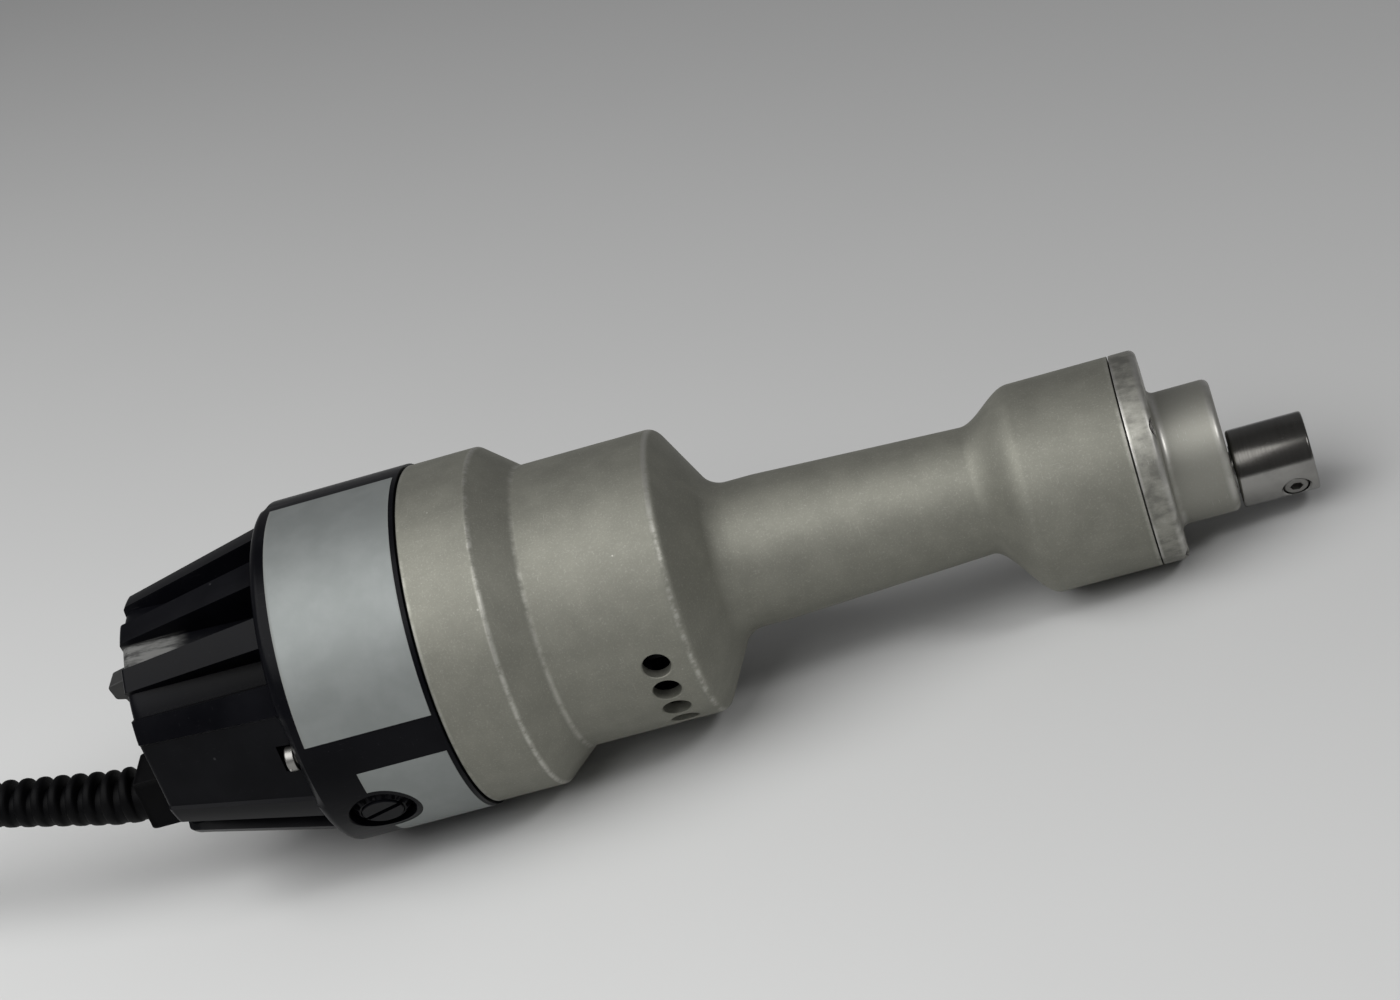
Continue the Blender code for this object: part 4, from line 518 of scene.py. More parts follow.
@dataclass(frozen=True)
class CapPlastic(BlackPlastic):
    """The cap's plastic, with a painted sheen on one channel's floor near its rear end, streaked with
    scratches.
    """

    name: str = "black_cap_plastic"
    sheen_x: Pair = (-204.0, -209.0)
    sheen_radius: Pair = (27.4, 27.1)
    sheen_lean: Pair = (0.45, 0.70)

    def painted_floor_sheen(self, graph: Graph) -> Value:
        """Painted sheen, a grey streaked with scratches, on the floor of the channel at 30 degrees.

        Args:
            graph: the material's graph.

        Returns:
            The mask.
        """
        x, y, z = graph.axes()
        radius = (y * y + z * z) ** 0.5
        lean = y * -1.0 / z.most(1 * MM)
        low, high = self.sheen_lean
        sector = lean.rise(low - 0.03, low + 0.02) * lean.rise(high + 0.03, high - 0.02)
        along = x.rise(self.sheen_x[0] * MM, self.sheen_x[1] * MM)
        deep = radius.rise(self.sheen_radius[0] * MM, self.sheen_radius[1] * MM)
        streak = graph.noise(1.6 * MM, detail=4.0, roughness=0.7, stretch=(0.16, 1.0, 1.0)).rise(0.35, 0.62)
        return (sector * along * deep * (streak * 0.75 + 0.2)).clamp()


@dataclass(frozen=True)
class BlackRubber(Finish):
    """Matte black rubber with a fine grain and dust in its hollows."""

    name: str = "black_boot_rubber"
    colour: Colour = (0.0015, 0.0015, 0.0019)
    dusty: Colour = (0.010, 0.010, 0.0095)
    roughness: float = 0.5
    grain_size: float = 0.35
    gloss: float = 0.06

    def paint(self, graph: Graph) -> Material:
        """Grain, bloom and dust.

        Args:
            graph: the material's graph.

        Returns:
            The material.
        """
        grain = graph.noise(self.grain_size * MM, detail=3.0, roughness=0.65)
        bloom = graph.noise(6 * MM, detail=4.0)
        dust = graph.spots(1.5 * MM, 0.12 * MM, 0.4)
        tone = graph.blend((bloom.rise(0.45, 0.85) * 0.35 + dust * 0.7).clamp(), self.colour, self.dusty)
        rough = self.roughness + bloom * 0.12 - grain * 0.08
        return graph.dress(Base_Color=tone, Roughness=rough, Specular_IOR_Level=self.gloss,
                           Normal=graph.bump(grain, 0.012 * MM))


@dataclass(frozen=True)
class FoilLabel(Finish):
    """Bare metallised label stock with a fine grain, rubbed and darkened along its edges."""

    name: str = "silver_foil_label"
    colour: Colour = (0.21, 0.225, 0.22)
    rubbed_and_sheen: Colour = (0.235, 0.25, 0.245)
    grimy: Colour = (0.22, 0.22, 0.21)
    edge_x: Pair = (-182.0, -153.2)

    def paint(self, graph: Graph) -> Material:
        """Foil grain, rubs and darkened edges.

        Args:
            graph: the material's graph.

        Returns:
            The material.
        """
        x = graph.axes()[0]
        grain = graph.noise(0.3 * MM, detail=3.0, roughness=0.7)
        rub = graph.noise(8 * MM, detail=4.0)
        lines = graph.streaks(0.8 * MM, (4.0, 0.35, 0.35), 0.68)
        specks = graph.spots(4 * MM, 0.18 * MM, 0.4)
        low, high = (edge * MM for edge in self.edge_x)
        grime = (x.rise(low + 0.9 * MM, low) + x.rise(high - 0.9 * MM, high)).clamp()
        tone = graph.blend(rub.rise(0.35, 0.7), self.colour, self.rubbed_and_sheen)
        tone = graph.blend((grime * 0.45 + specks * 0.6 + lines * 0.15).clamp(), tone, self.grimy)
        rough = 0.5 + rub * 0.03 + grain * 0.1 + grime * 0.15
        return graph.dress(Base_Color=tone, Metallic=0.6, Roughness=rough,
                           Normal=graph.bump(grain, 0.006 * MM))


@dataclass(frozen=True)
class InnerMetal(Finish):
    """A machined or wound metal of the works inside, oiled and a little uneven."""

    name: str = "inner_metal"
    colour: Colour = (0.5, 0.5, 0.5)
    shade: Colour = (0.3, 0.3, 0.3)
    roughness: float = 0.32
    stretch: Triple = EVEN
    metallic: float = 1.0

    def paint(self, graph: Graph) -> Material:
        """Tone and gloss that vary with an oiled film.

        Args:
            graph: the material's graph.

        Returns:
            The material.
        """
        film = graph.noise(3 * MM, detail=4.0)
        fine = graph.noise(0.5 * MM, detail=2.0, stretch=self.stretch)
        tone = graph.blend((film * 0.6 + fine * 0.4).rise(0.3, 0.7), self.shade, self.colour)
        return graph.dress(Base_Color=tone, Metallic=self.metallic, Roughness=self.roughness + film * 0.15,
                           Normal=graph.bump(fine, 0.02 * MM))


@dataclass(frozen=True)
class PaleSurface(Finish):
    """The plain pale studio surface."""

    name: str = "pale_surface"
    colour: Colour = (0.78, 0.785, 0.775)
    cloud: Colour = (0.80, 0.805, 0.795)
    painted_falloff_shade: Colour = (0.28, 0.28, 0.28)
    fade_from: float = -0.50
    fade_to: float = 0.52

    def paint(self, graph: Graph) -> Material:
        """A matte sheet with the faintest unevenness and painted shade that darkens it away from the camera,
        in place of the lamp's falloff.

        Args:
            graph: the material's graph.

        Returns:
            The material.
        """
        x, y, _ = graph.axes()
        soft = graph.noise(180 * MM, detail=2.0)
        tone = graph.blend(soft.rise(0.3, 0.7), self.colour, self.cloud)
        # Painted shade: darker away from the camera, in place of the light falling off.
        tone = graph.blend((x * 0.70 + y * 0.66).rise(self.fade_from, self.fade_to), tone, self.painted_falloff_shade)
        return graph.dress(Base_Color=tone, Roughness=0.75, Specular_IOR_Level=0.2)


ALUMINIUM = BlastedAluminium()
NOSE_ALUMINIUM = TurnedAluminium()
ARBOR_STEEL = PolishedSteel()
# The fourth value is the colour of the painted dark reflection band.
SCREW_STEEL = PolishedSteel("bright_screw_steel", (0.26, 0.255, 0.24), 0.3, (0.14, 0.14, 0.13))
DARK_STEEL = DarkSteel()
CAP_PLASTIC = BlackPlastic()
RIBBED_PLASTIC = CapPlastic()
ROCKER_PLASTIC = BlackPlastic("grey_rocker_plastic", (0.035, 0.035, 0.034), (0.09, 0.09, 0.088), 0.4, 0.3)
BOOT_RUBBER = BlackRubber()
CORD_RUBBER = BlackRubber("black_cord_jacket", (0.004, 0.004, 0.005), (0.02, 0.02, 0.019), 0.42, 0.6)
LABEL_FOIL = FoilLabel()
LOWER_FOIL = FoilLabel("silver_foil_label_lower", edge_x=(-174.0, -153.2))
BEARING_STEEL = InnerMetal("bearing_steel_ground", (0.6, 0.6, 0.59), (0.42, 0.42, 0.41), 0.2)
COPPER = InnerMetal("enamelled_copper", (0.62, 0.26, 0.11), (0.36, 0.13, 0.05), 0.3, (4.0, 1.0, 1.0))
BRASS = InnerMetal("bare_brass", (0.72, 0.53, 0.24), (0.5, 0.35, 0.14), 0.25)
BUSH_BRONZE = InnerMetal("oiled_bronze_bush", (0.42, 0.31, 0.17), (0.2, 0.14, 0.07), 0.3)
CARBON = InnerMetal("pressed_carbon", (0.05, 0.05, 0.052), (0.02, 0.02, 0.02), 0.5, metallic=0.3)
LAMINATION = InnerMetal("varnished_laminations", (0.30, 0.29, 0.28), (0.14, 0.13, 0.12), 0.4,
                        (8.0, 0.3, 0.3), 0.8)


@dataclass(frozen=True)
class Corner:
    """A corner of a turned profile in mm: station, radius, fillet and the drop of its centre."""

    x: float
    radius: float
    fillet: float = 0.0
    drop: float = 0.0


def filleted(corners: Sequence[Corner], steps: int = 6) -> list[Ring]:
    """The rings of a profile whose corners are rounded with arcs.

    Args:
        corners: the profile's corners in order.
        steps: facets of each rounded corner.

    Returns:
        Rings of (x, radius, drop) in mm.
    """
    rings: list[Ring] = []
    for i, corner in enumerate(corners):
        if corner.fillet <= 0 or i in (0, len(corners) - 1):
            rings.append((corner.x, corner.radius, corner.drop))
            continue
        here, last, following = (Vector((corners[j].x, corners[j].radius)) for j in (i, i - 1, i + 1))
        before, after = last - here, following - here
        half = before.angle(after) / 2
        reach = min(corner.fillet / math.tan(half), 0.49 * before.length, 0.49 * after.length)
        start, end = here + before.normalized() * reach, here + after.normalized() * reach
        centre = here + (before.normalized() + after.normalized()).normalized() * (reach / math.cos(half))
        sweep = (start - centre).angle(end - centre)
        for k in range(steps + 1):
            first = math.sin((1 - k / steps) * sweep) / math.sin(sweep)
            second = math.sin(k / steps * sweep) / math.sin(sweep)
            at = centre + (start - centre) * first + (end - centre) * second
            rings.append((at.x, at.y, corner.drop))
    return rings


def plain(profile: Iterable[Pair]) -> list[Ring]:
    """Rings in mm about the main axis from (x, radius) pairs."""
    return [(x, radius, 0.0) for x, radius in profile]


def swept(stations: Pair, radii: Pair, drops: Pair) -> list[Ring]:
    """Rings in mm of an S-shaped passage between two round sections.

    Args:
        stations: where it starts and ends.
        radii: its radii there.
        drops: how far its centre lies below the main axis there.

    Returns:
        The rings.
    """
    steps = 22
    swell = [smoothstep(k / steps) for k in range(steps + 1)]
    return [(mix(*stations, k / steps), mix(*radii, share), mix(*drops, share))
            for k, share in enumerate(swell)]


def skin(bm: Mesh, loops: Sequence[Sequence[bmesh.types.BMVert]], through: bool = False) -> None:
    """Joins neighbouring loops with quads and closes the form.

    Args:
        bm: the mesh.
        loops: its loops of vertices in order.
        through: join the last loop to the first instead of closing both ends.
    """
    pairs = list(zip(loops, loops[1:])) + ([(loops[-1], loops[0])] if through else [])
    for first, second in pairs:
        for i in range(len(first)):
            j = (i + 1) % len(first)
            bm.faces.new((first[i], first[j], second[j], second[i]))
    if not through:
        bm.faces.new(loops[0])
        bm.faces.new(loops[-1])


def lathe(rings: Iterable[Ring], sides: int, through: bool = False, bm: Mesh | None = None,
          turn: Matrix = Matrix.Identity(4)) -> Mesh:
    """A turned form about the main axis.

    Args:
        rings: its profile, (x, radius, drop) in mm.
        sides: facets around.
        through: join the last ring to the first instead of closing the ends.
        bm: a mesh to add to.
        turn: a matrix in metres applied to every point.

    Returns:
        The mesh.
    """
    bm = bm or bmesh.new()
    loops = []
    for x, radius, drop in rings:
        points = [around(radius, TURN * i / sides) for i in range(sides)]
        loops.append([bm.verts.new(turn @ (Vector((x, y, z - drop)) * MM)) for y, z in points])
    skin(bm, loops, through)
    return bm


def offset(y: float, z: float) -> Matrix:
    """A matrix that moves the main axis to (y, z) in mm."""
    return Matrix.Translation(Vector((0, y, z)) * MM)


def aimed(place: Vector, direction: Vector) -> Matrix:
    """A matrix that carries local X onto a direction at a place in mm."""
    return Matrix.Translation(place * MM) @ direction.to_track_quat("X", "Z").to_matrix().to_4x4()


def block(low: Triple, high: Triple, turn: Matrix = Matrix.Identity(4), bm: Mesh | None = None) -> Mesh:
    """A box.

    Args:
        low: its lowest corner in mm.
        high: its highest corner in mm.
        turn: a matrix in metres applied to every point.
        bm: a mesh to add to.

    Returns:
        The mesh.
    """
    bm = bm or bmesh.new()
    corners = [bm.verts.new(turn @ (Vector((x, y, z)) * MM))
               for x in (low[0], high[0]) for y in (low[1], high[1]) for z in (low[2], high[2])]
    for face in ((0, 1, 3, 2), (4, 6, 7, 5), (0, 4, 5, 1), (2, 3, 7, 6), (0, 2, 6, 4), (1, 5, 7, 3)):
        bm.faces.new([corners[i] for i in face])
    return bm


def holes(places: Iterable[tuple[Vector, Vector]], steps: Sequence[Pair], sides: int) -> Mesh:
    """Stepped round cutters.

    Args:
        places: start in mm and direction of each.
        steps: distance from the start and radius of every step, in mm.
        sides: facets around.

    Returns:
        The mesh of all cutters.
    """
    bm = bmesh.new()
    for place, direction in places:
        lathe(plain(steps), sides, bm=bm, turn=aimed(place, direction))
    return bm


def bevel(target: bpy.types.Object, width: float) -> None:
    """Rounds an object's sharp edges.

    Args:
        target: the object.
        width: the bevel's width in mm.
    """
    step = target.modifiers.new("rounded", "BEVEL")
    step.width = width * MM
    step.segments = 2
    step.limit_method = "ANGLE"
    step.angle_limit = math.radians(30.0)
    step.harden_normals = True


def carve(target: bpy.types.Object, cutter: Mesh) -> None:
    """Cuts a mesh out of an object and keeps only the result.

    Args:
        target: the object.
        cutter: the mesh, which is used up.
    """
    bmesh.ops.recalc_face_normals(cutter, faces=cutter.faces)
    mesh = bpy.data.meshes.new("cutter")
    cutter.to_mesh(mesh)
    cutter.free()
    tool = bpy.data.objects.new("cutter", mesh)
    bpy.context.scene.collection.objects.link(tool)
    step = target.modifiers.new("cut", "BOOLEAN")
    step.operation = "DIFFERENCE"
    step.solver = "EXACT"
    step.object = tool
    bpy.context.view_layer.update()
    done = bpy.data.meshes.new_from_object(target.evaluated_get(bpy.context.evaluated_depsgraph_get()))
    target.modifiers.clear()
    old = target.data
    target.data = done
    done.name = target.name
    bpy.data.meshes.remove(old)
    bpy.data.objects.remove(tool)
    bpy.data.meshes.remove(mesh)


def piece(name: str, bm: Mesh, finish: Finish, node: str, slot: str, body: Body = Body.SAW,
          place: Matrix = SAW_PLACE, cutter: Mesh | None = None, rounded: float = 0.0,
          sharp: float = 32.0) -> bpy.types.Object:
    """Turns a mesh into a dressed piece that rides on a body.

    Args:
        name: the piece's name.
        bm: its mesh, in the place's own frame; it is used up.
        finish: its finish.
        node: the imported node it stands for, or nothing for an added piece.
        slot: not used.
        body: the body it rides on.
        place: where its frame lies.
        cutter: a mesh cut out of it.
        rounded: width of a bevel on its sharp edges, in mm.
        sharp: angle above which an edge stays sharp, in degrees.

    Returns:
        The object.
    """
    bmesh.ops.recalc_face_normals(bm, faces=bm.faces)
    mesh = bpy.data.meshes.new(name)
    bm.to_mesh(mesh)
    bm.free()
    made = bpy.data.objects.new(name, mesh)
    bpy.context.scene.collection.objects.link(made)
    if cutter is not None:
        carve(made, cutter)
    made.data.materials.append(finish.material())
    made.data.shade_smooth()
    made.data.set_sharp_from_angle(angle=math.radians(sharp))
    made.matrix_world = place
    if rounded:
        bevel(made, rounded)
    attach(made, body.value)
    nodes = [node] if node else []
    if nodes:
        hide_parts(*nodes)
    LOG.info("%s: %d faces on %s", name, len(made.data.polygons), body.value)
    return made


@dataclass
class Camera:
    """The photograph's camera, in metres and degrees."""

    place: Vector = Vector((0.166804, -0.594042, 0.366849))
    turn: Triple = (59.9738, 22.5934, 0.0512)
    lens: float = 82.286
    sensor_width: float = 36.0

    def build(self) -> None:
        """Makes the camera and sets it as the scene's."""
        data = bpy.data.cameras.new("photo_camera")
        data.lens = self.lens
        data.sensor_width = self.sensor_width
        data.clip_start, data.clip_end = 0.02, 30.0
        made = bpy.data.objects.new("photo_camera", data)
        made.location = self.place
        made.rotation_euler = tuple(math.radians(angle) for angle in self.turn)
        bpy.context.scene.collection.objects.link(made)
        bpy.context.scene.camera = made
        LOG.info("camera at %s", tuple(round(v, 3) for v in self.place))


@dataclass
class Lamp:
    """A rectangular soft lamp that points at a target, in metres and watts."""

    name: str
    place: Vector
    target: Vector
    size: Pair
    power: float

    def build(self) -> None:
        """Hangs the lamp."""
        data = bpy.data.lights.new(self.name, "AREA")
        data.shape = "RECTANGLE"
        data.size, data.size_y = self.size
        data.energy = self.power
        made = bpy.data.objects.new(self.name, data)
        made.location = self.place
        made.rotation_euler = (self.target - self.place).to_track_quat("-Z", "Y").to_euler()
        bpy.context.scene.collection.objects.link(made)


@dataclass
class Studio:
    """Floor, world and soft lamps."""

    floor_half: float = 5.0
    floor_level: float = -0.02 * MM
    world_colour: Colour = (0.56, 0.56, 0.57)
    world_strength: float = 0.36
    lamps: tuple[Lamp, ...] = (
        Lamp("overhead_softbox", Vector((-0.55, -0.5, 1.2)), Vector((-0.15, -0.05, 0.0)), (1.8, 1.2), 23.0),
        Lamp("side_strip", Vector((0.9, -0.5, 0.8)), Vector((0.05, 0.0, 0.03)), (0.25, 0.25), 3.4))

    def build(self) -> None:
        """Makes the floor, the world and the lamps."""
        bm = bmesh.new()
        half = self.floor_half
        corners = ((-half, -half), (half, -half), (half, half), (-half, half))
        bm.faces.new([bm.verts.new((x, y, self.floor_level)) for x, y in corners])
        mesh = bpy.data.meshes.new("studio_floor")
        bm.to_mesh(mesh)
        bm.free()
        mesh.materials.append(PaleSurface().material())
        floor = bpy.data.objects.new("studio_floor", mesh)
        bpy.context.scene.collection.objects.link(floor)
        world = bpy.data.worlds.new("studio_world")
        world.use_nodes = True
        back = world.node_tree.nodes["Background"]
        back.inputs["Color"].default_value = (*self.world_colour, 1.0)
        back.inputs["Strength"].default_value = self.world_strength
        bpy.context.scene.world = world
        for lamp in self.lamps:
            lamp.build()
        bpy.context.scene.view_settings.view_transform = "Standard"
        LOG.info("studio: floor, world and %d lamps", len(self.lamps))


@dataclass
class Boot:
    """The strain relief: its square collar and ribbed tail, sizes in mm."""

    drop: float = 18.8
    length: float = 61.7
    collar_length: float = 13.7
    collar_half: float = 6.5
    collar_gap: float = 0.05
    neck_radius: float = 5.0
    core_radius: float = 3.75
    core_ends: Pair = (-0.05, 0.27)
    flange_radius: float = 6.2
    flange_length: float = 2.5
    plate: float = 3.0
    gap: float = 0.3
    front_radius: float = 6.5
    rear_radius: float = 5.1
    pitch: float = 4.35
    rib_width: float = 2.2
    groove_depth: float = 1.4
    groove_shape: tuple[Pair, ...] = (
        (0.02, 0.0), (0.5, 0.0), (0.86, 0.0), (0.95, 0.35), (1.0, 0.62))
    rib_shape: tuple[Pair, ...] = (
        (0.1, 0.86), (0.25, 0.97), (0.5, 1.0), (0.75, 0.97), (0.9, 0.86), (0.99, 0.55))
    spine_shift: float = 1.1
    spine_angle: float = math.radians(150)
    yaw: float = math.radians(13)
    climb: float = math.radians(4.5)
    bend_length: float = 10.0
    sides: int = 56

    def centre(self, distance: float) -> tuple[Vector, Vector]:
        """The centre line, which bends behind the collar.

        Args:
            distance: how far behind the end plate, in mm.

        Returns:
            The point there in mm and the direction.
        """
        past = max(0.0, distance - self.collar_length)
        if past < self.bend_length:
            run, slope = past * past / (2 * self.bend_length), past / self.bend_length
        else:
            run, slope = past - self.bend_length / 2, 1.0
        side, rise = math.tan(self.yaw), math.tan(self.climb)
        return (Vector((CAP_END - distance, side * run, -self.drop + rise * run)),
                Vector((-1.0, side * slope, rise * slope)).normalized())

    def exit(self) -> tuple[Vector, Vector]:
        """The boot's rear end.

        Returns:
            Where the cord leaves it, in metres in the row frame, and in which direction.
        """
        place, direction = self.centre(self.length)
        direction = SAW_PLACE.to_3x3() @ direction
        return SAW_PLACE @ (place * MM) + direction * self.gap * MM, direction

    def build(self) -> None:
        """Makes the collar, the neck and the tail."""
        self.collar()
        self.neck()
        self.tail()

    def part(self, name: str, bm: Mesh, **options: float) -> None:
        """Adds one rubber piece of the boot."""
        piece(name, bm, BOOT_RUBBER, "strain_relief", "black_rubber", **options)

    def collar(self) -> None:
        """The square collar with sunk panels."""
        half = self.collar_half
        bm = block((CAP_END - self.collar_length, -half, -self.drop - half),
                   (CAP_END - self.collar_gap, half, -self.drop + half))
        bm.normal_update()
        sides = [face for face in bm.faces if abs(face.normal.x) < 0.5]
        bmesh.ops.inset_individual(bm, faces=sides, thickness=1.5 * MM, depth=-0.5 * MM)
        self.part("boot_collar", bm, rounded=0.55)

    def neck(self) -> None:
        """The neck and flange that hold the boot in the end plate."""
        inner = CAP_END + self.plate + self.gap
        outer = inner + self.flange_length
        neck, flange = self.neck_radius, self.flange_radius
        rings = filleted([Corner(CAP_END - self.collar_gap, neck), Corner(inner, neck),
                          Corner(inner, flange, 0.4), Corner(outer, flange, 0.4), Corner(outer, neck)])
        self.part("boot_neck", lathe(rings, 40, turn=offset(0.0, -BOOT_NECK_DROP)))

    def sections(self) -> list[Ring]:
        """The tail's sections and the core that meets the cord.

        Returns:
            Distance, radius and shift of each, in mm.
        """
        start, groove = self.collar_length, self.pitch - self.rib_width
        stations = [(start - 0.6, 0.0)]
        for k in range(int((self.length - start) / self.pitch)):
            base = start + k * self.pitch
            stations += [(base + groove * share, lift) for share, lift in self.groove_shape]
            stations += [(base + groove + self.rib_width * share, lift) for share, lift in self.rib_shape]
        stations.append((self.length - 0.1, 0.4))
        found = []
        for distance, lift in stations:
            taper = min(1.0, max(0.0, (distance - start) / (self.length - start)))
            full = mix(self.front_radius, self.rear_radius, taper)
            found.append((distance, mix(full - self.groove_depth, full, lift), self.spine_shift * (1 - lift)))
        return found + [(self.length + past, self.core_radius, 0.0) for past in self.core_ends]

    def tail(self) -> None:
        """The tapered tail, with ribs whose grooves are deep on top and shallow below."""
        bm = bmesh.new()
        loops = []
        for distance, radius, shift in self.sections():
            centre, direction = self.centre(distance)
            turn = aimed(centre + outward(self.spine_angle) * shift, -direction)
            points = [around(radius * MM, TURN * i / self.sides) for i in range(self.sides)]
            loops.append([bm.verts.new(turn @ Vector((0, y, z))) for y, z in points])
        skin(bm, loops)
        self.part("boot_ribbed_tail", bm, sharp=50)


@dataclass
class MainsLead:
    """The mains cord in metres: a free run from the boot, a wound coil, a tail over it and a moulded plug."""

    boot: Boot
    radius: float = 4.0 * MM
    bend: float = 45.0 * MM
    run: float = 108.0 * MM
    middle: float = 43.0 * MM
    pitch: float = 8.2 * MM
    crossing: float = math.radians(120)
    tail_radius: float = 36.0 * MM
    tail_straight: float = 8.0 * MM
    plug_radius: float = 14.0 * MM
    seat_gap: float = 0.3 * MM

    def heading(self) -> tuple[Vector, Vector]:
        """How the cord's way lies on the floor.

        Returns:
            The exit's direction seen from above, and the direction to its left.
        """
        _, direction = self.boot.exit()
        ahead = Vector((direction.x, direction.y, 0)).normalized()
        return ahead, Vector((-ahead.y, ahead.x, 0))

    def coil_centre(self) -> Vector:
        """Where the coil lies.

        Returns:
            Its centre on the floor.
        """
        place, _ = self.boot.exit()
        ahead, left = self.heading()
        return Vector((place.x, place.y, 0)) + ahead * self.run + left * (self.middle + self.pitch)

    def free_points(self) -> list[Vector]:
        """The cord from the boot over a low hump, down to the floor and up to the coil.

        Returns:
            Its points.
        """
        place, direction = self.boot.exit()
        ahead, _ = self.heading()
        climb = math.asin(direction.z)
        first = place + direction * self.radius
        crest = first.z + self.bend * (1 - math.cos(climb))
        descent = math.acos(1 - (crest - self.radius) / (2 * self.bend))
        turns = [mix(climb, -descent, k / 14) for k in range(15)]
        turns += [mix(-descent, 0, k / 12) for k in range(1, 13)]
        points, reach, height = [place, first], (first - place).dot(ahead), first.z
        for before, after in zip(turns, turns[1:]):
            chord = 2 * self.bend * math.sin(abs(after - before) / 2)
            slope = (before + after) / 2
            reach += chord * math.cos(slope)
            height += chord * math.sin(slope)
            points.append(place + ahead * reach + Vector((0, 0, height - place.z)))
        return points

    def wound_points(self) -> list[Vector]:
        """The turns of the coil: three layers of three, each step in its own stretch of the turn.

        Returns:
            Its points.
        """
        _, left = self.heading()
        begin = math.atan2(-left.y, -left.x)
        centre = self.coil_centre()
        mean, outer, inner = self.middle, self.middle + self.pitch, self.middle - self.pitch
        low, mid, high = (self.radius + k * self.pitch for k in range(3))
        over = 2 * self.pitch + 3 * self.radius + self.seat_gap
        legs = [(270, outer, low), (60, mean, low), (300, mean, low), (60, inner, low), (210, inner, low),
                (60, inner, mid), (210, inner, mid), (60, mean, mid), (300, mean, mid), (60, outer, mid),
                (270, outer, mid), (60, outer, high), (240, outer, high), (60, mean, high), (300, mean, high),
                (60, inner, high)]
        end = 17 * math.pi - self.crossing - math.radians(60)
        held = math.degrees(end - begin) - sum(sweep for sweep, _, _ in legs)
        legs += [(held, inner, high), (60, inner, over), (math.degrees(self.crossing), outer, over)]
        points, angle, radius, height = [], 0.0, outer, low
        for sweep, to_radius, to_height in legs:
            steps = max(3, round(sweep / 10))
            for k in range(1, steps + 1):
                share = smoothstep(k / steps)
                turned = begin + math.radians(angle + sweep * k / steps)
                reach = mix(radius, to_radius, share)
                points.append(centre + Vector((reach * math.cos(turned), reach * math.sin(turned),
                                               mix(height, to_height, share))))
            angle, radius, height = angle + sweep, to_radius, to_height
        return points

    def tail_points(self) -> list[Vector]:
        """The cord's end, from the coil's top to the plug.

        Returns:
            Its points.
        """
        arc = self.coil_centre() - Vector((self.middle + self.pitch - self.tail_radius, 0, 0))
        top = 2 * self.pitch + 2 * self.radius + self.seat_gap
        points = []
        for k in range(1, 11):
            angle = math.pi + math.pi / 2 * k / 10
            height = top + mix(self.radius, self.plug_radius, smoothstep(k / 10))
            reach = Vector((math.cos(angle), math.sin(angle), 0)) * self.tail_radius
            points.append(arc + reach + Vector((0, 0, height)))
        points.append(points[-1] + Vector((self.tail_straight, 0, 0)))
        return points

    def build(self) -> None:
        """Makes the cord as one curve, and the plug's moulded body."""
        tail = self.tail_points()
        points = self.free_points() + self.wound_points() + tail
        curve = bpy.data.curves.new("mains_cord", "CURVE")
        curve.dimensions = "3D"
        curve.bevel_depth = self.radius
        curve.bevel_resolution = 8
        curve.use_fill_caps = True
        spline = curve.splines.new("POLY")
        spline.points.add(len(points) - 1)
        for target, point in zip(spline.points, points):
            target.co = (*point, 1.0)
        spline.use_smooth = True
        cord = bpy.data.objects.new("mains_cord", curve)
        curve.materials.append(CORD_RUBBER.material())
        bpy.context.scene.collection.objects.link(cord)
        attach(cord, Body.SAW.value)
        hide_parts("cord_tube", "cord_coil", "cord_tail")
        body = self.plug(tail[-1] + Vector((self.seat_gap, 0, 0)))
        length = sum((after - before).length for before, after in zip(points, points[1:]))
        2 * self.radius
        LOG.info("mains cord: %.3f m in %d points", length, len(points))

    def plug(self, place: Vector) -> bpy.types.Object:
        """The moulded plug body with a grip waist and ribs, pointing along +X.

        Args:
            place: where the cord enters it, in metres.

        Returns:
            The body.
        """
        corners = [Corner(0.0, 4.2), Corner(0.0, 5.0, 0.3)]
        for k in range(3):
            start, wide = 1.5 + 4.0 * k, 5.2 + 0.6 * k
            corners += [Corner(start + 0.4, wide - 0.1, 0.2), Corner(start + 0.8, wide - 0.8, 0.3),
                        Corner(start + 2.0, wide - 0.7, 0.3), Corner(start + 2.4, wide + 0.3, 0.2)]
        corners += [Corner(14.0, 7.0, 1.0), Corner(20.0, 11.0, 3.0), Corner(27.0, 12.6, 3.0),
                    Corner(31.0, 12.2, 2.0), Corner(36.0, 12.4, 2.0), Corner(41.0, 13.7, 2.0),
                    Corner(50.0, 13.9, 1.2), Corner(50.0, 4.0)]
        bm = lathe(filleted(corners, 4), 48, turn=Matrix.Translation(place))
        return piece("plug_moulding", bm, CORD_RUBBER, "plug_body", "black_rubber", place=Matrix.Identity(4))


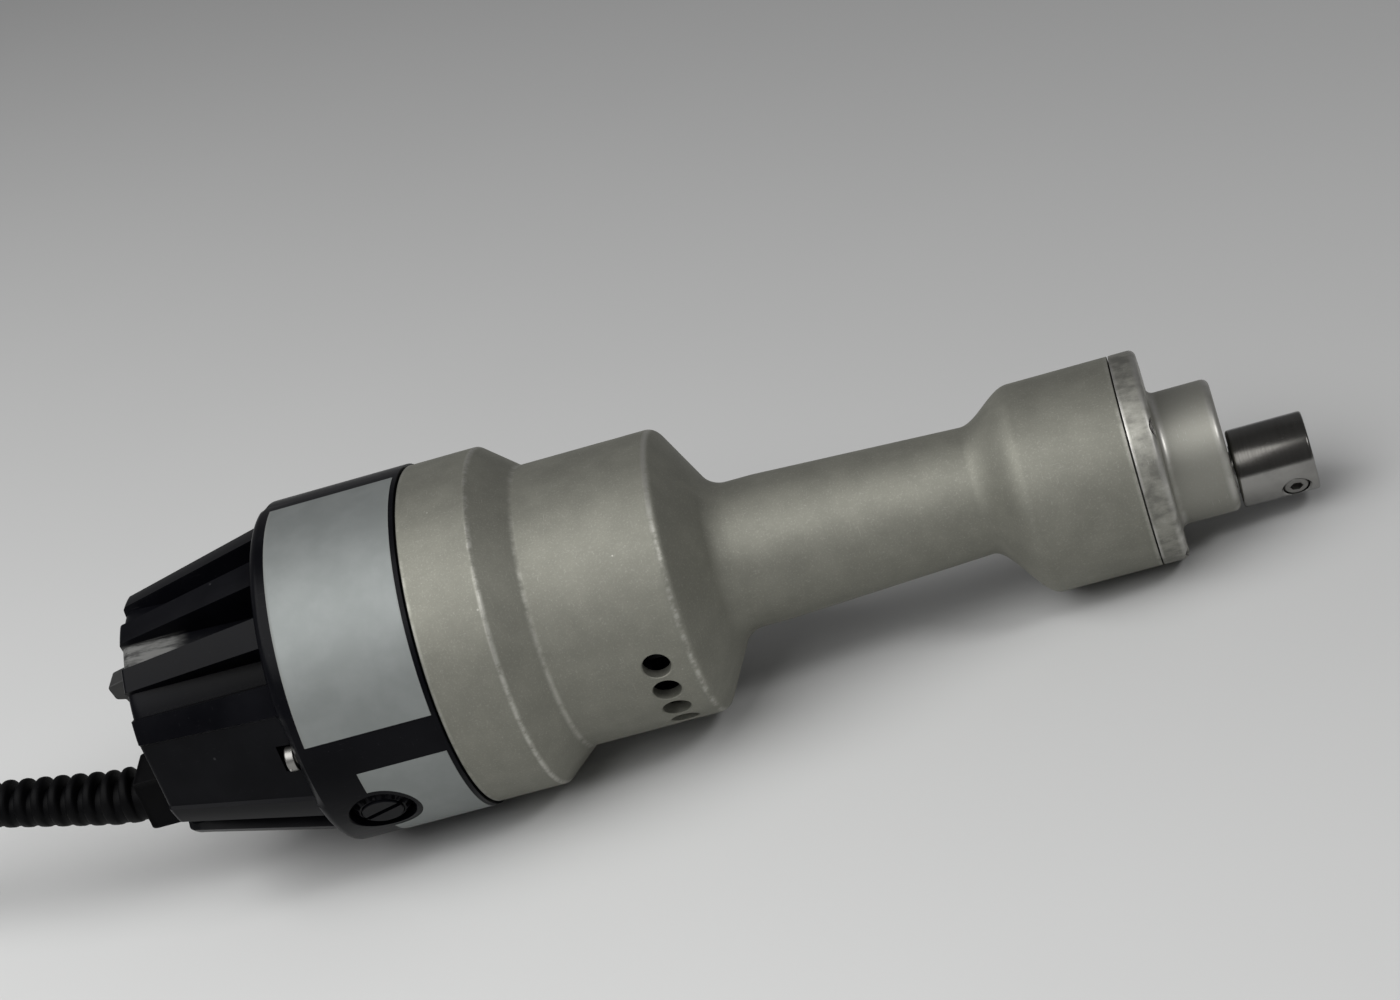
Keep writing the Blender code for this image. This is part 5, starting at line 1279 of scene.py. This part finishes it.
@dataclass
class Housing:
    """The aluminium motor housing with its head, neck, shoulder and band, sizes in mm."""

    sides: int = 160
    bore: float = 29.0
    neck_bore: float = 8.0
    bearing_seat: float = 11.3
    head_bore: float = 18.5
    cylinder: float = 31.67
    band: float = 38.1
    vent_radius: float = 3.1
    vent_rim: float = 2.0
    vent_station: float = -106.5
    vent_pitch: float = math.radians(13.5)
    vent_centre: float = math.radians(121.5)
    vent_count: int = 5

    def vents(self) -> list[tuple[Vector, Vector]]:
        """Start in mm and direction of every vent cutter."""
        first = self.vent_centre - (self.vent_count - 1) / 2 * self.vent_pitch
        return [(Vector((self.vent_station, 0, 0)), outward(first + k * self.vent_pitch + side))
                for k in range(self.vent_count) for side in (0.0, math.pi)]

    def build(self) -> None:
        """Makes the shell as one closed casting with its vents."""
        cylinder, band, bore = self.cylinder, self.band, self.bore
        rings = filleted([Corner(0.0, 21.0, 0.0, HEAD_DROP), Corner(0.0, HEAD_RADIUS, 0.15, HEAD_DROP),
                          Corner(-22.0, HEAD_RADIUS, 0.0, HEAD_DROP)])[:-1]
        rings += swept((-22.0, -34.0), (HEAD_RADIUS, 14.0), (HEAD_DROP, 0.0))
        rings += filleted([Corner(-80.0, 16.2), Corner(-89.3, 16.2, 6.0), Corner(-98.4, cylinder, 2.6),
                           Corner(-104.0, cylinder)], 10)
        rings += filleted([Corner(-110.0, cylinder), Corner(-128.8, cylinder, 1.8), Corner(-136.8, band, 0.9),
                           Corner(-152.3, band, 0.3), Corner(-152.3, bore)])[1:]
        rings += plain(((-103.1, bore), (-97.0, 18.0), (-95.6, self.bearing_seat), (-88.0, self.bearing_seat),
                        (-88.0, self.neck_bore), (-21.6, self.neck_bore), (-21.6, self.bearing_seat),
                        (-14.0, self.bearing_seat)))
        rings += [(-14.0, self.head_bore, HEAD_DROP), (0.0, self.head_bore, HEAD_DROP)]
        steps = [(18.0, self.vent_radius), (cylinder - 0.3, self.vent_radius),
                 (cylinder + 1.7, self.vent_radius + self.vent_rim)]
        piece("motor_casting", lathe(rings, self.sides, through=True), ALUMINIUM, "motor_housing",
              "cast_aluminium", cutter=holes(self.vents(), steps, 36), sharp=24)


@dataclass
class NoseCap:
    """The flange and boss in front of the head, with its countersunk screws, sizes in mm."""

    sides: int = 128
    flange_front: float = 6.0
    boss_front: float = 19.2
    boss_radius: float = 14.44
    boss_drop: float = 4.79
    screw_circle: float = 20.73
    head_radius: float = 2.3

    def screw_places(self) -> list[Pair]:
        """The (y, z) places of the four flange screws."""
        found = [around(self.screw_circle, math.radians(45) + k * math.pi / 2) for k in range(4)]
        return [(y, z - HEAD_DROP) for y, z in found]

    def build(self) -> None:
        """Makes the cap and its screws."""
        flange, front, boss, drop = self.flange_front, self.boss_front, self.boss_radius, self.boss_drop
        rings = filleted([
            Corner(-2.2, 12.0, 0.0, HEAD_DROP), Corner(-2.2, 18.2, 0.3, HEAD_DROP),
            Corner(0.3, 18.2, 0.0, HEAD_DROP), Corner(0.3, HEAD_RADIUS, 0.12, HEAD_DROP),
            Corner(flange, HEAD_RADIUS, 1.5, HEAD_DROP), Corner(flange, boss, 1.5, drop),
            Corner(front, boss, 1.6, drop), Corner(front, 5.6, 0.25, ARBOR_DROP),
            Corner(7.9, 5.6, 0.0, ARBOR_DROP)])[1:]
        rings += [(x, radius, ARBOR_DROP) for x, radius in ((7.9, 4.9), (5.3, 4.9), (5.3, 8.3), (-2.2, 8.3))]
        starts = [(Vector((-5.0, y, z)), Vector((1, 0, 0))) for y, z in self.screw_places()]
        steps = [(0.0, 1.5), (9.2, 1.5), (10.75, 2.55), (13.0, 2.55)]
        piece("nose_cap_turned", lathe(rings, self.sides, through=True), NOSE_ALUMINIUM, "nose_cap",
              "cast_aluminium", cutter=holes(starts, steps, 28), sharp=28)
        for k, (y, z) in enumerate(self.screw_places()):
            self.screw(k + 1, offset(y, z))

    def screw(self, number: int, turn: Matrix) -> None:
        """A countersunk slotted screw.

        Args:
            number: which one, from 1.
            turn: carries the main axis to the screw's.
        """
        profile = filleted([Corner(-7.0, 1.25), Corner(4.4, 1.25), Corner(5.6, self.head_radius, 0.1),
                            Corner(5.7, self.head_radius - 0.1), Corner(5.7, 0.05)])
        slot = block((5.0, -3.0, -0.32), (6.5, 3.0, 0.32), turn @ Matrix.Rotation(0.7 * number, 4, "X"))
        piece(f"flange_screw_{number}", lathe(profile, 28, turn=turn), DARK_STEEL, f"nose_screw_{number}",
              "dark_steel", cutter=slot)


@dataclass
class Arbor:
    """The spindle with its polished arbor, blade socket and socket set screw, sizes in mm."""

    sides: int = 96
    rear: float = 19.7
    tip: float = 36.2
    radius: float = 8.5
    socket: float = 4.75
    screw_station: float = 31.3
    screw_angle: float = math.radians(117)
    screw_radius: float = 2.6

    def build(self) -> None:
        """Makes the spindle and its set screw."""
        rings = filleted([
            Corner(-12.3, 3.6), Corner(-11.9, 4.0), Corner(19.5, 4.0), Corner(19.5, 5.2),
            Corner(self.rear, 5.2), Corner(self.rear, self.radius, 0.7), Corner(self.tip, self.radius, 0.6),
            Corner(self.tip, self.socket, 0.4), Corner(22.2, self.socket), Corner(21.2, 0.4)])
        direction = outward(self.screw_angle)
        centre = Vector((self.screw_station, 0, -ARBOR_DROP))
        piece("arbor_turned", lathe(rings, self.sides, turn=offset(0.0, -ARBOR_DROP)), ARBOR_STEEL, "spindle",
              "polished_steel", Body.SPINDLE, sharp=26,
              cutter=holes([(centre, direction)], [(3.0, 2.9), (8.1, 2.9), (9.6, 4.4)], 40))
        profile = filleted([Corner(5.05, 2.0), Corner(5.5, self.screw_radius),
                            Corner(8.1, self.screw_radius, 0.35), Corner(8.1, 0.05)])
        turn = aimed(centre, direction)
        hexagon = lathe(plain(((6.2, 1.45), (9.0, 1.45))), 6, turn=turn @ Matrix.Rotation(0.35, 4, "X"))
        piece("set_screw_socketed", lathe(profile, 40, turn=turn), SCREW_STEEL, "arbor_set_screw",
              "dark_steel", Body.SPINDLE, cutter=hexagon, rounded=0.12)


@dataclass
class RearCap:
    """The black cap, sizes in mm: band, cone of ribs and floored channels, flat panels and end plate."""

    ribs: int = 15
    panels: int = 3
    rib_half: float = math.radians(5.5)
    panel_edge: float = math.radians(0.9)
    first_panel: float = math.radians(90)
    panel_drop: float = 0.8
    front: float = -152.6
    step_front: float = -183.6
    step_length: float = 2.4
    end_round: float = 1.2
    band: float = 38.6
    cone_front_radius: float = 35.66
    cone_rear_radius: float = 28.16
    wall: float = 3.0
    pad: float = 29.0
    band_inner: float = 32.5
    floor_rear: float = -217.4
    floor_front_radius: float = 24.8
    floor_rear_radius: float = 27.0
    floor_drop: float = 1.9
    floor_wall: float = 2.2
    draft: float = math.radians(0.8)
    inlet: float = 0.4
    screw_circle: float = 33.2

    def __post_init__(self) -> None:
        """Works out the columns, what each holds, and the stations."""
        self.cone_front = self.step_front - self.step_length
        self.cone_rear = CAP_END + self.end_round
        self.columns: list[float] = []
        self.sunk: list[bool] = []
        self.flats: list[Pair] = []
        pitch, half, draft = TURN / self.ribs, self.rib_half, self.draft
        per_panel = self.ribs // self.panels
        for k in range(self.ribs):
            centre = self.first_panel + k * pitch
            if k % per_panel == 0:
                reach = pitch - half
                edge = reach - self.panel_edge
                self.flats.append((centre, edge))
                self.fill(centre - reach, centre - edge, 1)
                self.fill(centre - edge, centre + edge, 12)
                self.fill(centre + edge, centre + reach, 1)
                continue
            if k % per_panel > 1:
                wall, far_wall = centre + half - pitch, centre - half
                self.fill(wall, wall + draft, 1)
                self.fill(wall + draft, far_wall - draft, 4, sunk=True)
                self.fill(far_wall - draft, far_wall, 1, sunk=True)
            self.fill(centre - half, centre + half, 4)
        steps = [self.step_front - self.step_length * math.sin(math.pi / 2 * k / 10) for k in range(11)]
        ends = [self.cone_rear - self.end_round * math.sin(math.pi / 2 * k / 6) for k in range(7)]
        middle = [mix(self.cone_front - self.inlet, self.floor_rear, k / 6) for k in range(7)]
        bend = [mix(self.floor_rear, self.cone_rear, k / 3) for k in (1, 2)]
        band = [mix(self.front, self.step_front, k / 4) for k in range(4)]
        self.stations = band + steps + middle + bend + ends

    def fill(self, start: float, end: float, steps: int, sunk: bool = False) -> None:
        """Adds columns from one angle up to, but without, the next.

        Args:
            start: the first column's angle.
            end: where the following columns start.
            steps: how many columns.
            sunk: whether they lie on a channel's floor.
        """
        self.columns += [mix(start, end, k / steps) for k in range(steps)]
        self.sunk += [sunk] * steps

    def radius(self, x: float) -> float:
        """Radius over the ribs.

        Args:
            x: the station.

        Returns:
            The radius.
        """
        if x >= self.step_front:
            return self.band
        if x >= self.cone_front:
            share = min(1.0, (self.step_front - x) / self.step_length)
            return mix(self.band, self.cone_front_radius, 1 - math.sqrt(max(0.0, 1 - share * share)))
        if x >= self.cone_rear:
            share = (self.cone_front - x) / (self.cone_front - self.cone_rear)
            return mix(self.cone_front_radius, self.cone_rear_radius, share)
        share = min(1.0, (self.cone_rear - x) / self.end_round)
        return self.cone_rear_radius - self.end_round * (1 - math.sqrt(max(0.0, 1 - share * share)))

    def floor(self, x: float) -> float:
        """Radius of a channel's floor, with its rounded rear end.

        Args:
            x: the station.

        Returns:
            The radius.
        """
        share = min(1.0, max(0.0, (self.floor_rear - x) / (self.floor_rear - CAP_END)))
        along = min(1.0, max(0.0, (self.cone_front - x) / (self.cone_front - self.floor_rear)))
        level = mix(self.floor_front_radius, self.floor_rear_radius, along)
        return level - self.floor_drop * (1 - math.sqrt(1 - share * share))

    def on_flat(self, angle: float) -> Pair | None:
        """Where an angle lies on a flat panel.

        Args:
            angle: the angle.

        Returns:
            The turn from the panel's centre and the panel's half width, or nothing beside a panel.
        """
        for centre, edge in self.flats:
            turn = (angle - centre + math.pi) % TURN - math.pi
            if abs(turn) <= edge * 1.0005:
                return turn, edge
        return None

    def outer(self, column: int, x: float) -> Vector:
        """The outer surface.

        Args:
            column: number of the column.
            x: the station.

        Returns:
            The point.
        """
        angle = self.columns[column]
        radius = self.floor(x) if self.sunk[column] and x < self.cone_front else self.radius(x)
        at = self.on_flat(angle)
        if at and x < self.step_front:
            turn, edge = at
            flat = (radius - self.panel_drop) * math.cos(edge) / math.cos(turn)
            radius = mix(radius, flat, min(1.0, (self.step_front - x) / self.step_length))
        return Vector((x, *around(radius, angle)))

    def inner(self, column: int, x: float) -> Vector:
        """The inner surface.

        Args:
            column: number of the column.
            x: the station.

        Returns:
            The point.
        """
        angle = self.columns[column]
        at = self.on_flat(angle)
        if x >= self.cone_front:
            on_pad = at is not None and abs(at[0]) < at[1] * 0.75
            radius = self.pad if on_pad else self.band_inner
        elif at:
            radius = (self.radius(x) - self.panel_drop) * math.cos(at[1]) - self.wall
        else:
            radius = self.floor(x) - self.floor_wall
        inside = CAP_END + self.wall
        return Vector((max(x, inside), *around(radius - max(0.0, inside - x), angle)))

    def sheet(self) -> Mesh:
        """The cap's wall as a sheet of cells, without the cells of its air inlets.

        Returns:
            The mesh.
        """
        bm = bmesh.new()
        made: dict = {}
        count, last = len(self.columns), len(self.stations) - 1
        inlet = self.stations.index(self.cone_front - self.inlet) - 1

        def vertex(outside: bool, i: int, j: int) -> bmesh.types.BMVert:
            """The vertex of a side at a column and a station."""
            key = (outside, i % count, j)
            if key not in made:
                place = self.outer if outside else self.inner
                made[key] = bm.verts.new(place(key[1], self.stations[j]) * MM)
            return made[key]

        def there(i: int, j: int) -> bool:
            """Whether the cell behind a column and a station is solid."""
            open_air = j == inlet and self.sunk[i % count] and self.sunk[(i + 1) % count]
            return 0 <= j < last and not open_air

        for i, j in ((i, j) for i in range(count) for j in range(last) if there(i, j)):
            for outside in (True, False):
                cell = ((i, j), (i + 1, j), (i + 1, j + 1), (i, j + 1))
                bm.faces.new([vertex(outside, *at) for at in cell])
            edges = (((i, j - 1), (i, j), (i + 1, j)), ((i, j + 1), (i, j + 1), (i + 1, j + 1)),
                     ((i - 1, j), (i, j), (i, j + 1)), ((i + 1, j), (i + 1, j), (i + 1, j + 1)))
            for beside, start, end in edges:
                if not there(*beside) and beside[1] != last:
                    bm.faces.new((vertex(True, *start), vertex(True, *end), vertex(False, *end),
                                  vertex(False, *start)))
        for outside in (True, False):
            bm.faces.new([vertex(outside, i, last) for i in range(count)])
        return bm

    def screw_axis(self, k: int) -> Matrix:
        """Carries the main axis to the axis of a screw."""
        return offset(*around(self.screw_circle, self.first_panel + TURN * k / self.panels))

    def cutter(self, brushes: BrushGear) -> Mesh:
        """Holes for the brush caps, the cap screws, the switch and the boot's neck.

        Args:
            brushes: the brush caps.

        Returns:
            The mesh of all cutters.
        """
        bm = holes(brushes.places(), [(20.0, 4.8), (34.9, 4.8), (34.9, 7.3), (38.3, 7.3), (39.2, 8.2)], 56)
        for k in range(self.panels):
            lathe(plain(((-150.0, 1.8), (-185.7, 1.8), (-185.7, 3.4), (-189.7, 3.4))), 32, bm=bm,
                  turn=self.screw_axis(k))
        behind, ahead = CAP_END - 1, CAP_END + 4
        block((behind, -4.8, -3.7), (ahead, 4.8, 15.7), bm=bm)
        return lathe([(x, 5.3, BOOT_NECK_DROP) for x in (behind, ahead)], 40, bm=bm)

    def build(self, brushes: BrushGear) -> None:
        """Makes the cap, its screws and its labels.

        Args:
            brushes: the brush caps, which the cap and the lower label make way for.
        """
        piece("rear_cap_moulded", self.sheet(), RIBBED_PLASTIC, "rear_cap", "black_plastic",
              cutter=self.cutter(brushes), rounded=0.45, sharp=26)
        for k in range(self.panels):
            self.screw(k)
        self.label("main_label", (-181.9, -153.6), (-8.0, 83.2), LABEL_FOIL)
        self.label("lower_label", (-173.8, -153.6), (97.2, 158.0), LOWER_FOIL,
                   holes(brushes.places(), [(30.0, 8.6), (42.0, 8.6)], 64))

    def label(self, name: str, stations: Pair, angles: Pair, finish: Finish,
              cutter: Mesh | None = None) -> None:
        """A thin curved label on the band.

        Args:
            name: its name.
            stations: its rear and front ends.
            angles: where it starts and ends round the band, in degrees.
            finish: its finish.
            cutter: a mesh cut out of it.
        """
        bm = bmesh.new()
        steps = 60
        turns = [math.radians(mix(*angles, k / steps)) for k in range(steps + 1)]
        low_rear, low_front, top_rear, top_front = (
            [bm.verts.new(Vector((x, *around(radius, turn))) * MM) for turn in turns]
            for radius in (self.band + 0.02, self.band + 0.12) for x in stations)
        for first, second in ((low_rear, low_front), (low_front, top_front), (top_front, top_rear),
                              (top_rear, low_rear)):
            for k in range(steps):
                bm.faces.new((first[k], first[k + 1], second[k + 1], second[k]))
        for k in (0, steps):
            bm.faces.new((low_rear[k], low_front[k], top_front[k], top_rear[k]))
        piece(name, bm, finish, "", "polished_steel", cutter=cutter)

    def screw(self, k: int) -> None:
        """A cheese-head screw along the axis in its scoop, with a driver slot.

        Args:
            k: which one, from 0.
        """
        turn = self.screw_axis(k)
        profile = filleted([Corner(-145.3, 1.5), Corner(-186.0, 1.5), Corner(-186.0, 2.8, 0.15),
                            Corner(-188.0, 2.8, 0.45), Corner(-188.0, 0.05)])
        slot = block((-189.0, -3.2, -0.4), (-187.2, 3.2, 0.4), turn @ Matrix.Rotation(0.5 + 1.1 * k, 4, "X"))
        piece(f"cap_screw_head_{k + 1}", lathe(profile, 32, turn=turn), SCREW_STEEL, f"cap_screw_{k + 1}",
              "polished_steel", cutter=slot)


@dataclass
class BrushGear:
    """The two slotted brush caps in their round recesses, sizes in mm."""

    station: float = -173.4
    angle: float = math.radians(119)
    notches: int = 14
    profile: tuple[Ring, ...] = (
        (35.2, 6.4, 0.0), (35.2, 6.85, 0.0), (35.9, 6.85, 0.25), (36.3, 6.7, 0.8), (37.3, 5.9, 0.85),
        (37.8, 5.3, 0.4), (38.0, 5.05, 0.0), (38.0, 4.85, 0.0), (37.5, 4.75, 0.0), (37.5, 4.55, 0.0),
        (38.25, 4.5, 0.0), (38.4, 4.35, 0.0), (38.4, 0.3, 0.0))
    notch_shape: tuple[float, ...] = (1.0, 1.0, 1.0, 0.5, 0.0, 0.0, 0.0, 0.5)

    def places(self) -> list[tuple[Vector, Vector]]:
        """Centre on the main axis and direction of each brush."""
        return [(Vector((self.station, 0, 0)), outward(self.angle + side)) for side in (0.0, math.pi)]

    def build(self) -> None:
        """Makes both caps."""
        for tag, (place, direction) in zip(("front", "back"), self.places()):
            self.lid(tag, aimed(place, direction))

    def lid(self, tag: str, turn: Matrix) -> None:
        """A cap with a notched conical skirt, a groove and a slotted disc.

        Args:
            tag: which brush it closes.
            turn: carries local X outwards along the brush.
        """
        bm = bmesh.new()
        facets = len(self.notch_shape)
        sides = self.notches * facets
        loops = []
        for x, radius, notch in self.profile:
            points = [around((radius - notch * self.notch_shape[i % facets]) * MM, TURN * i / sides)
                      for i in range(sides)]
            loops.append([bm.verts.new(turn @ Vector((x * MM, y, z))) for y, z in points])
        skin(bm, loops)
        slot = block((37.2, -6.5, -0.65), (40.0, 6.5, 0.65), turn @ Matrix.Rotation(0.35, 4, "X"))
        piece(f"brush_cap_slotted_{tag}", bm, CAP_PLASTIC, f"brush_cap_{tag}", "black_plastic", cutter=slot,
              rounded=0.1, sharp=30)


@dataclass
class PowerSwitch:
    """The rocker switch in the end plate, with its bezel and pocket, sizes in mm."""

    pivot: Vector = Vector((-222.2, 0.0, 6.0))
    body_half: Pair = (4.5, 9.4)
    depth: float = 15.0
    bezel: float = 1.0
    bezel_half: Pair = (5.2, 10.5)
    pocket_half: Pair = (3.3, 8.3)
    tilt: float = math.radians(12)
    rocker_side: tuple[Pair, ...] = (
        (4.0, 7.0), (-6.0, 7.0), (-6.4, 6.7), (-6.5, 6.2), (-6.5, 3.7), (-6.2, 3.2), (-4.6, 2.4), (-4.2, 0.0))

    def slab(self, rear: float, front: float, half: Pair) -> Mesh:
        """A box centred on the switch.

        Args:
            rear: its rear end, counted from the end plate.
            front: its front end, counted likewise.
            half: half its width and half its length.

        Returns:
            The mesh.
        """
        (wide, tall), level = half, self.pivot.z
        return block((CAP_END + rear, -wide, level - tall), (CAP_END + front, wide, level + tall))

    def build(self) -> None:
        """Makes the body, the bezel and the rocker."""
        piece("switch_body_moulded", self.slab(-0.2, self.depth, self.body_half), CAP_PLASTIC, "switch_body",
              "black_plastic", cutter=self.slab(-3.0, 4.6, self.pocket_half))
        piece("switch_bezel", self.slab(-self.bezel - 0.1, -0.1, self.bezel_half), CAP_PLASTIC, "switch_body",
              "black_plastic", cutter=self.slab(-3.0, 1.0, self.pocket_half), rounded=0.3)
        self.rocker()

    def rocker(self) -> None:
        """The moving rocker: two raised ends with a valley between them, deep enough to fill its pocket."""
        outline = [*self.rocker_side, *((x, -z) for x, z in reversed(self.rocker_side[:-1]))]
        bm = bmesh.new()
        skin(bm, [[bm.verts.new(Vector((x, y, z)) * MM) for x, z in outline] for y in (-3.0, 3.0)])
        place = SAW_PLACE @ Matrix.Translation(self.pivot * MM) @ Matrix.Rotation(-self.tilt, 4, "Y")
        piece("rocker_moulded", bm, ROCKER_PLASTIC, "rocker", "black_plastic", Body.ROCKER, place,
              rounded=0.35)


@dataclass
class Bracket:
    """The cup behind the motor that holds the rear bearing and the brush holders, sizes in mm."""

    sides: int = 96
    air_holes: int = 9
    hole_radius: float = 2.6
    hole_circle: float = 15.6
    profile: tuple[Pair, ...] = (
        (-155.1, 28.7), (-185.0, 28.7), (-185.0, 22.0), (-190.8, 22.0), (-190.8, 12.5), (-197.1, 12.5),
        (-197.1, 9.8), (-190.5, 9.8), (-190.5, 4.9), (-186.8, 4.9), (-186.8, 18.5), (-182.4, 18.5),
        (-182.4, 26.4), (-155.1, 26.4))

    def build(self, brushes: BrushGear) -> None:
        """Makes the cup with its air holes and the ways for the brush holders.

        Args:
            brushes: the brush gear that passes through it.
        """
        cutter = holes(brushes.places(), [(18.0, 5.4), (31.0, 5.4)], 40)
        for k in range(self.air_holes):
            turn = offset(*around(self.hole_circle, TURN * (k + 0.5) / self.air_holes))
            lathe(plain((x, self.hole_radius) for x in (-192.0, -185.5)), 24, bm=cutter, turn=turn)
        piece("end_bracket_turned", lathe(plain(self.profile), self.sides, through=True), ALUMINIUM,
              "end_bracket", "cast_aluminium", cutter=cutter)


@dataclass
class PackedParts:
    """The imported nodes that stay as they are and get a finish, and a bevel in mm where they show."""

    dressed: tuple[tuple[Finish, tuple[str, ...]], ...] = (
        (BEARING_STEEL, ("rear_bearing", "middle_bearing", "drive_bearing", "spindle_bearing",
                         "eccentric_bearing")),
        (COPPER, ("field_coil_top", "field_coil_bottom", "winding_rear", "winding_front", "commutator")),
        (BRASS, ("brush_holder_front", "brush_holder_back", "plug_blade_1", "plug_blade_2",
                 "plug_ground_pin")),
        (CARBON, ("carbon_brush_front", "carbon_brush_back")),
        (SCREW_STEEL, ("brush_spring_front", "brush_spring_back", "motor_shaft")),
        (LAMINATION, ("stator_core", "armature_core")),
        (CAP_PLASTIC, ("cooling_fan",)),
        (DARK_STEEL, ("fork",)),
        (BUSH_BRONZE, ("nose_bush",)))
    rounded: tuple[str, ...] = ("plug_blade_1", "plug_blade_2")
    bevel_width: float = 0.25

    def build(self) -> None:
        """Dresses the nodes and rounds those that show."""
        for finish, names in self.dressed:
            for name in names:
                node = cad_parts[name]
                node.data.materials.clear()
                node.data.materials.append(finish.material())
                for slot in node.material_slots:
                    slot.material = finish.material()
                LOG.info("%s dressed in %s", name, finish.name)
        for name in self.rounded:
            bevel(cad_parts[name], self.bevel_width)


def main() -> None:
    """Builds the camera and the cord first, then the saw from the nose backwards, and the studio."""
    Camera().build()
    boot = Boot()
    MainsLead(boot).build()
    boot.build()
    brushes = BrushGear()
    Housing().build()
    NoseCap().build()
    Arbor().build()
    RearCap().build(brushes)
    brushes.build()
    Bracket().build(brushes)
    PowerSwitch().build()
    PackedParts().build()
    Studio().build()


if __name__ == "__main__":
    logging.basicConfig(level=logging.INFO, format="%(message)s")
    main()
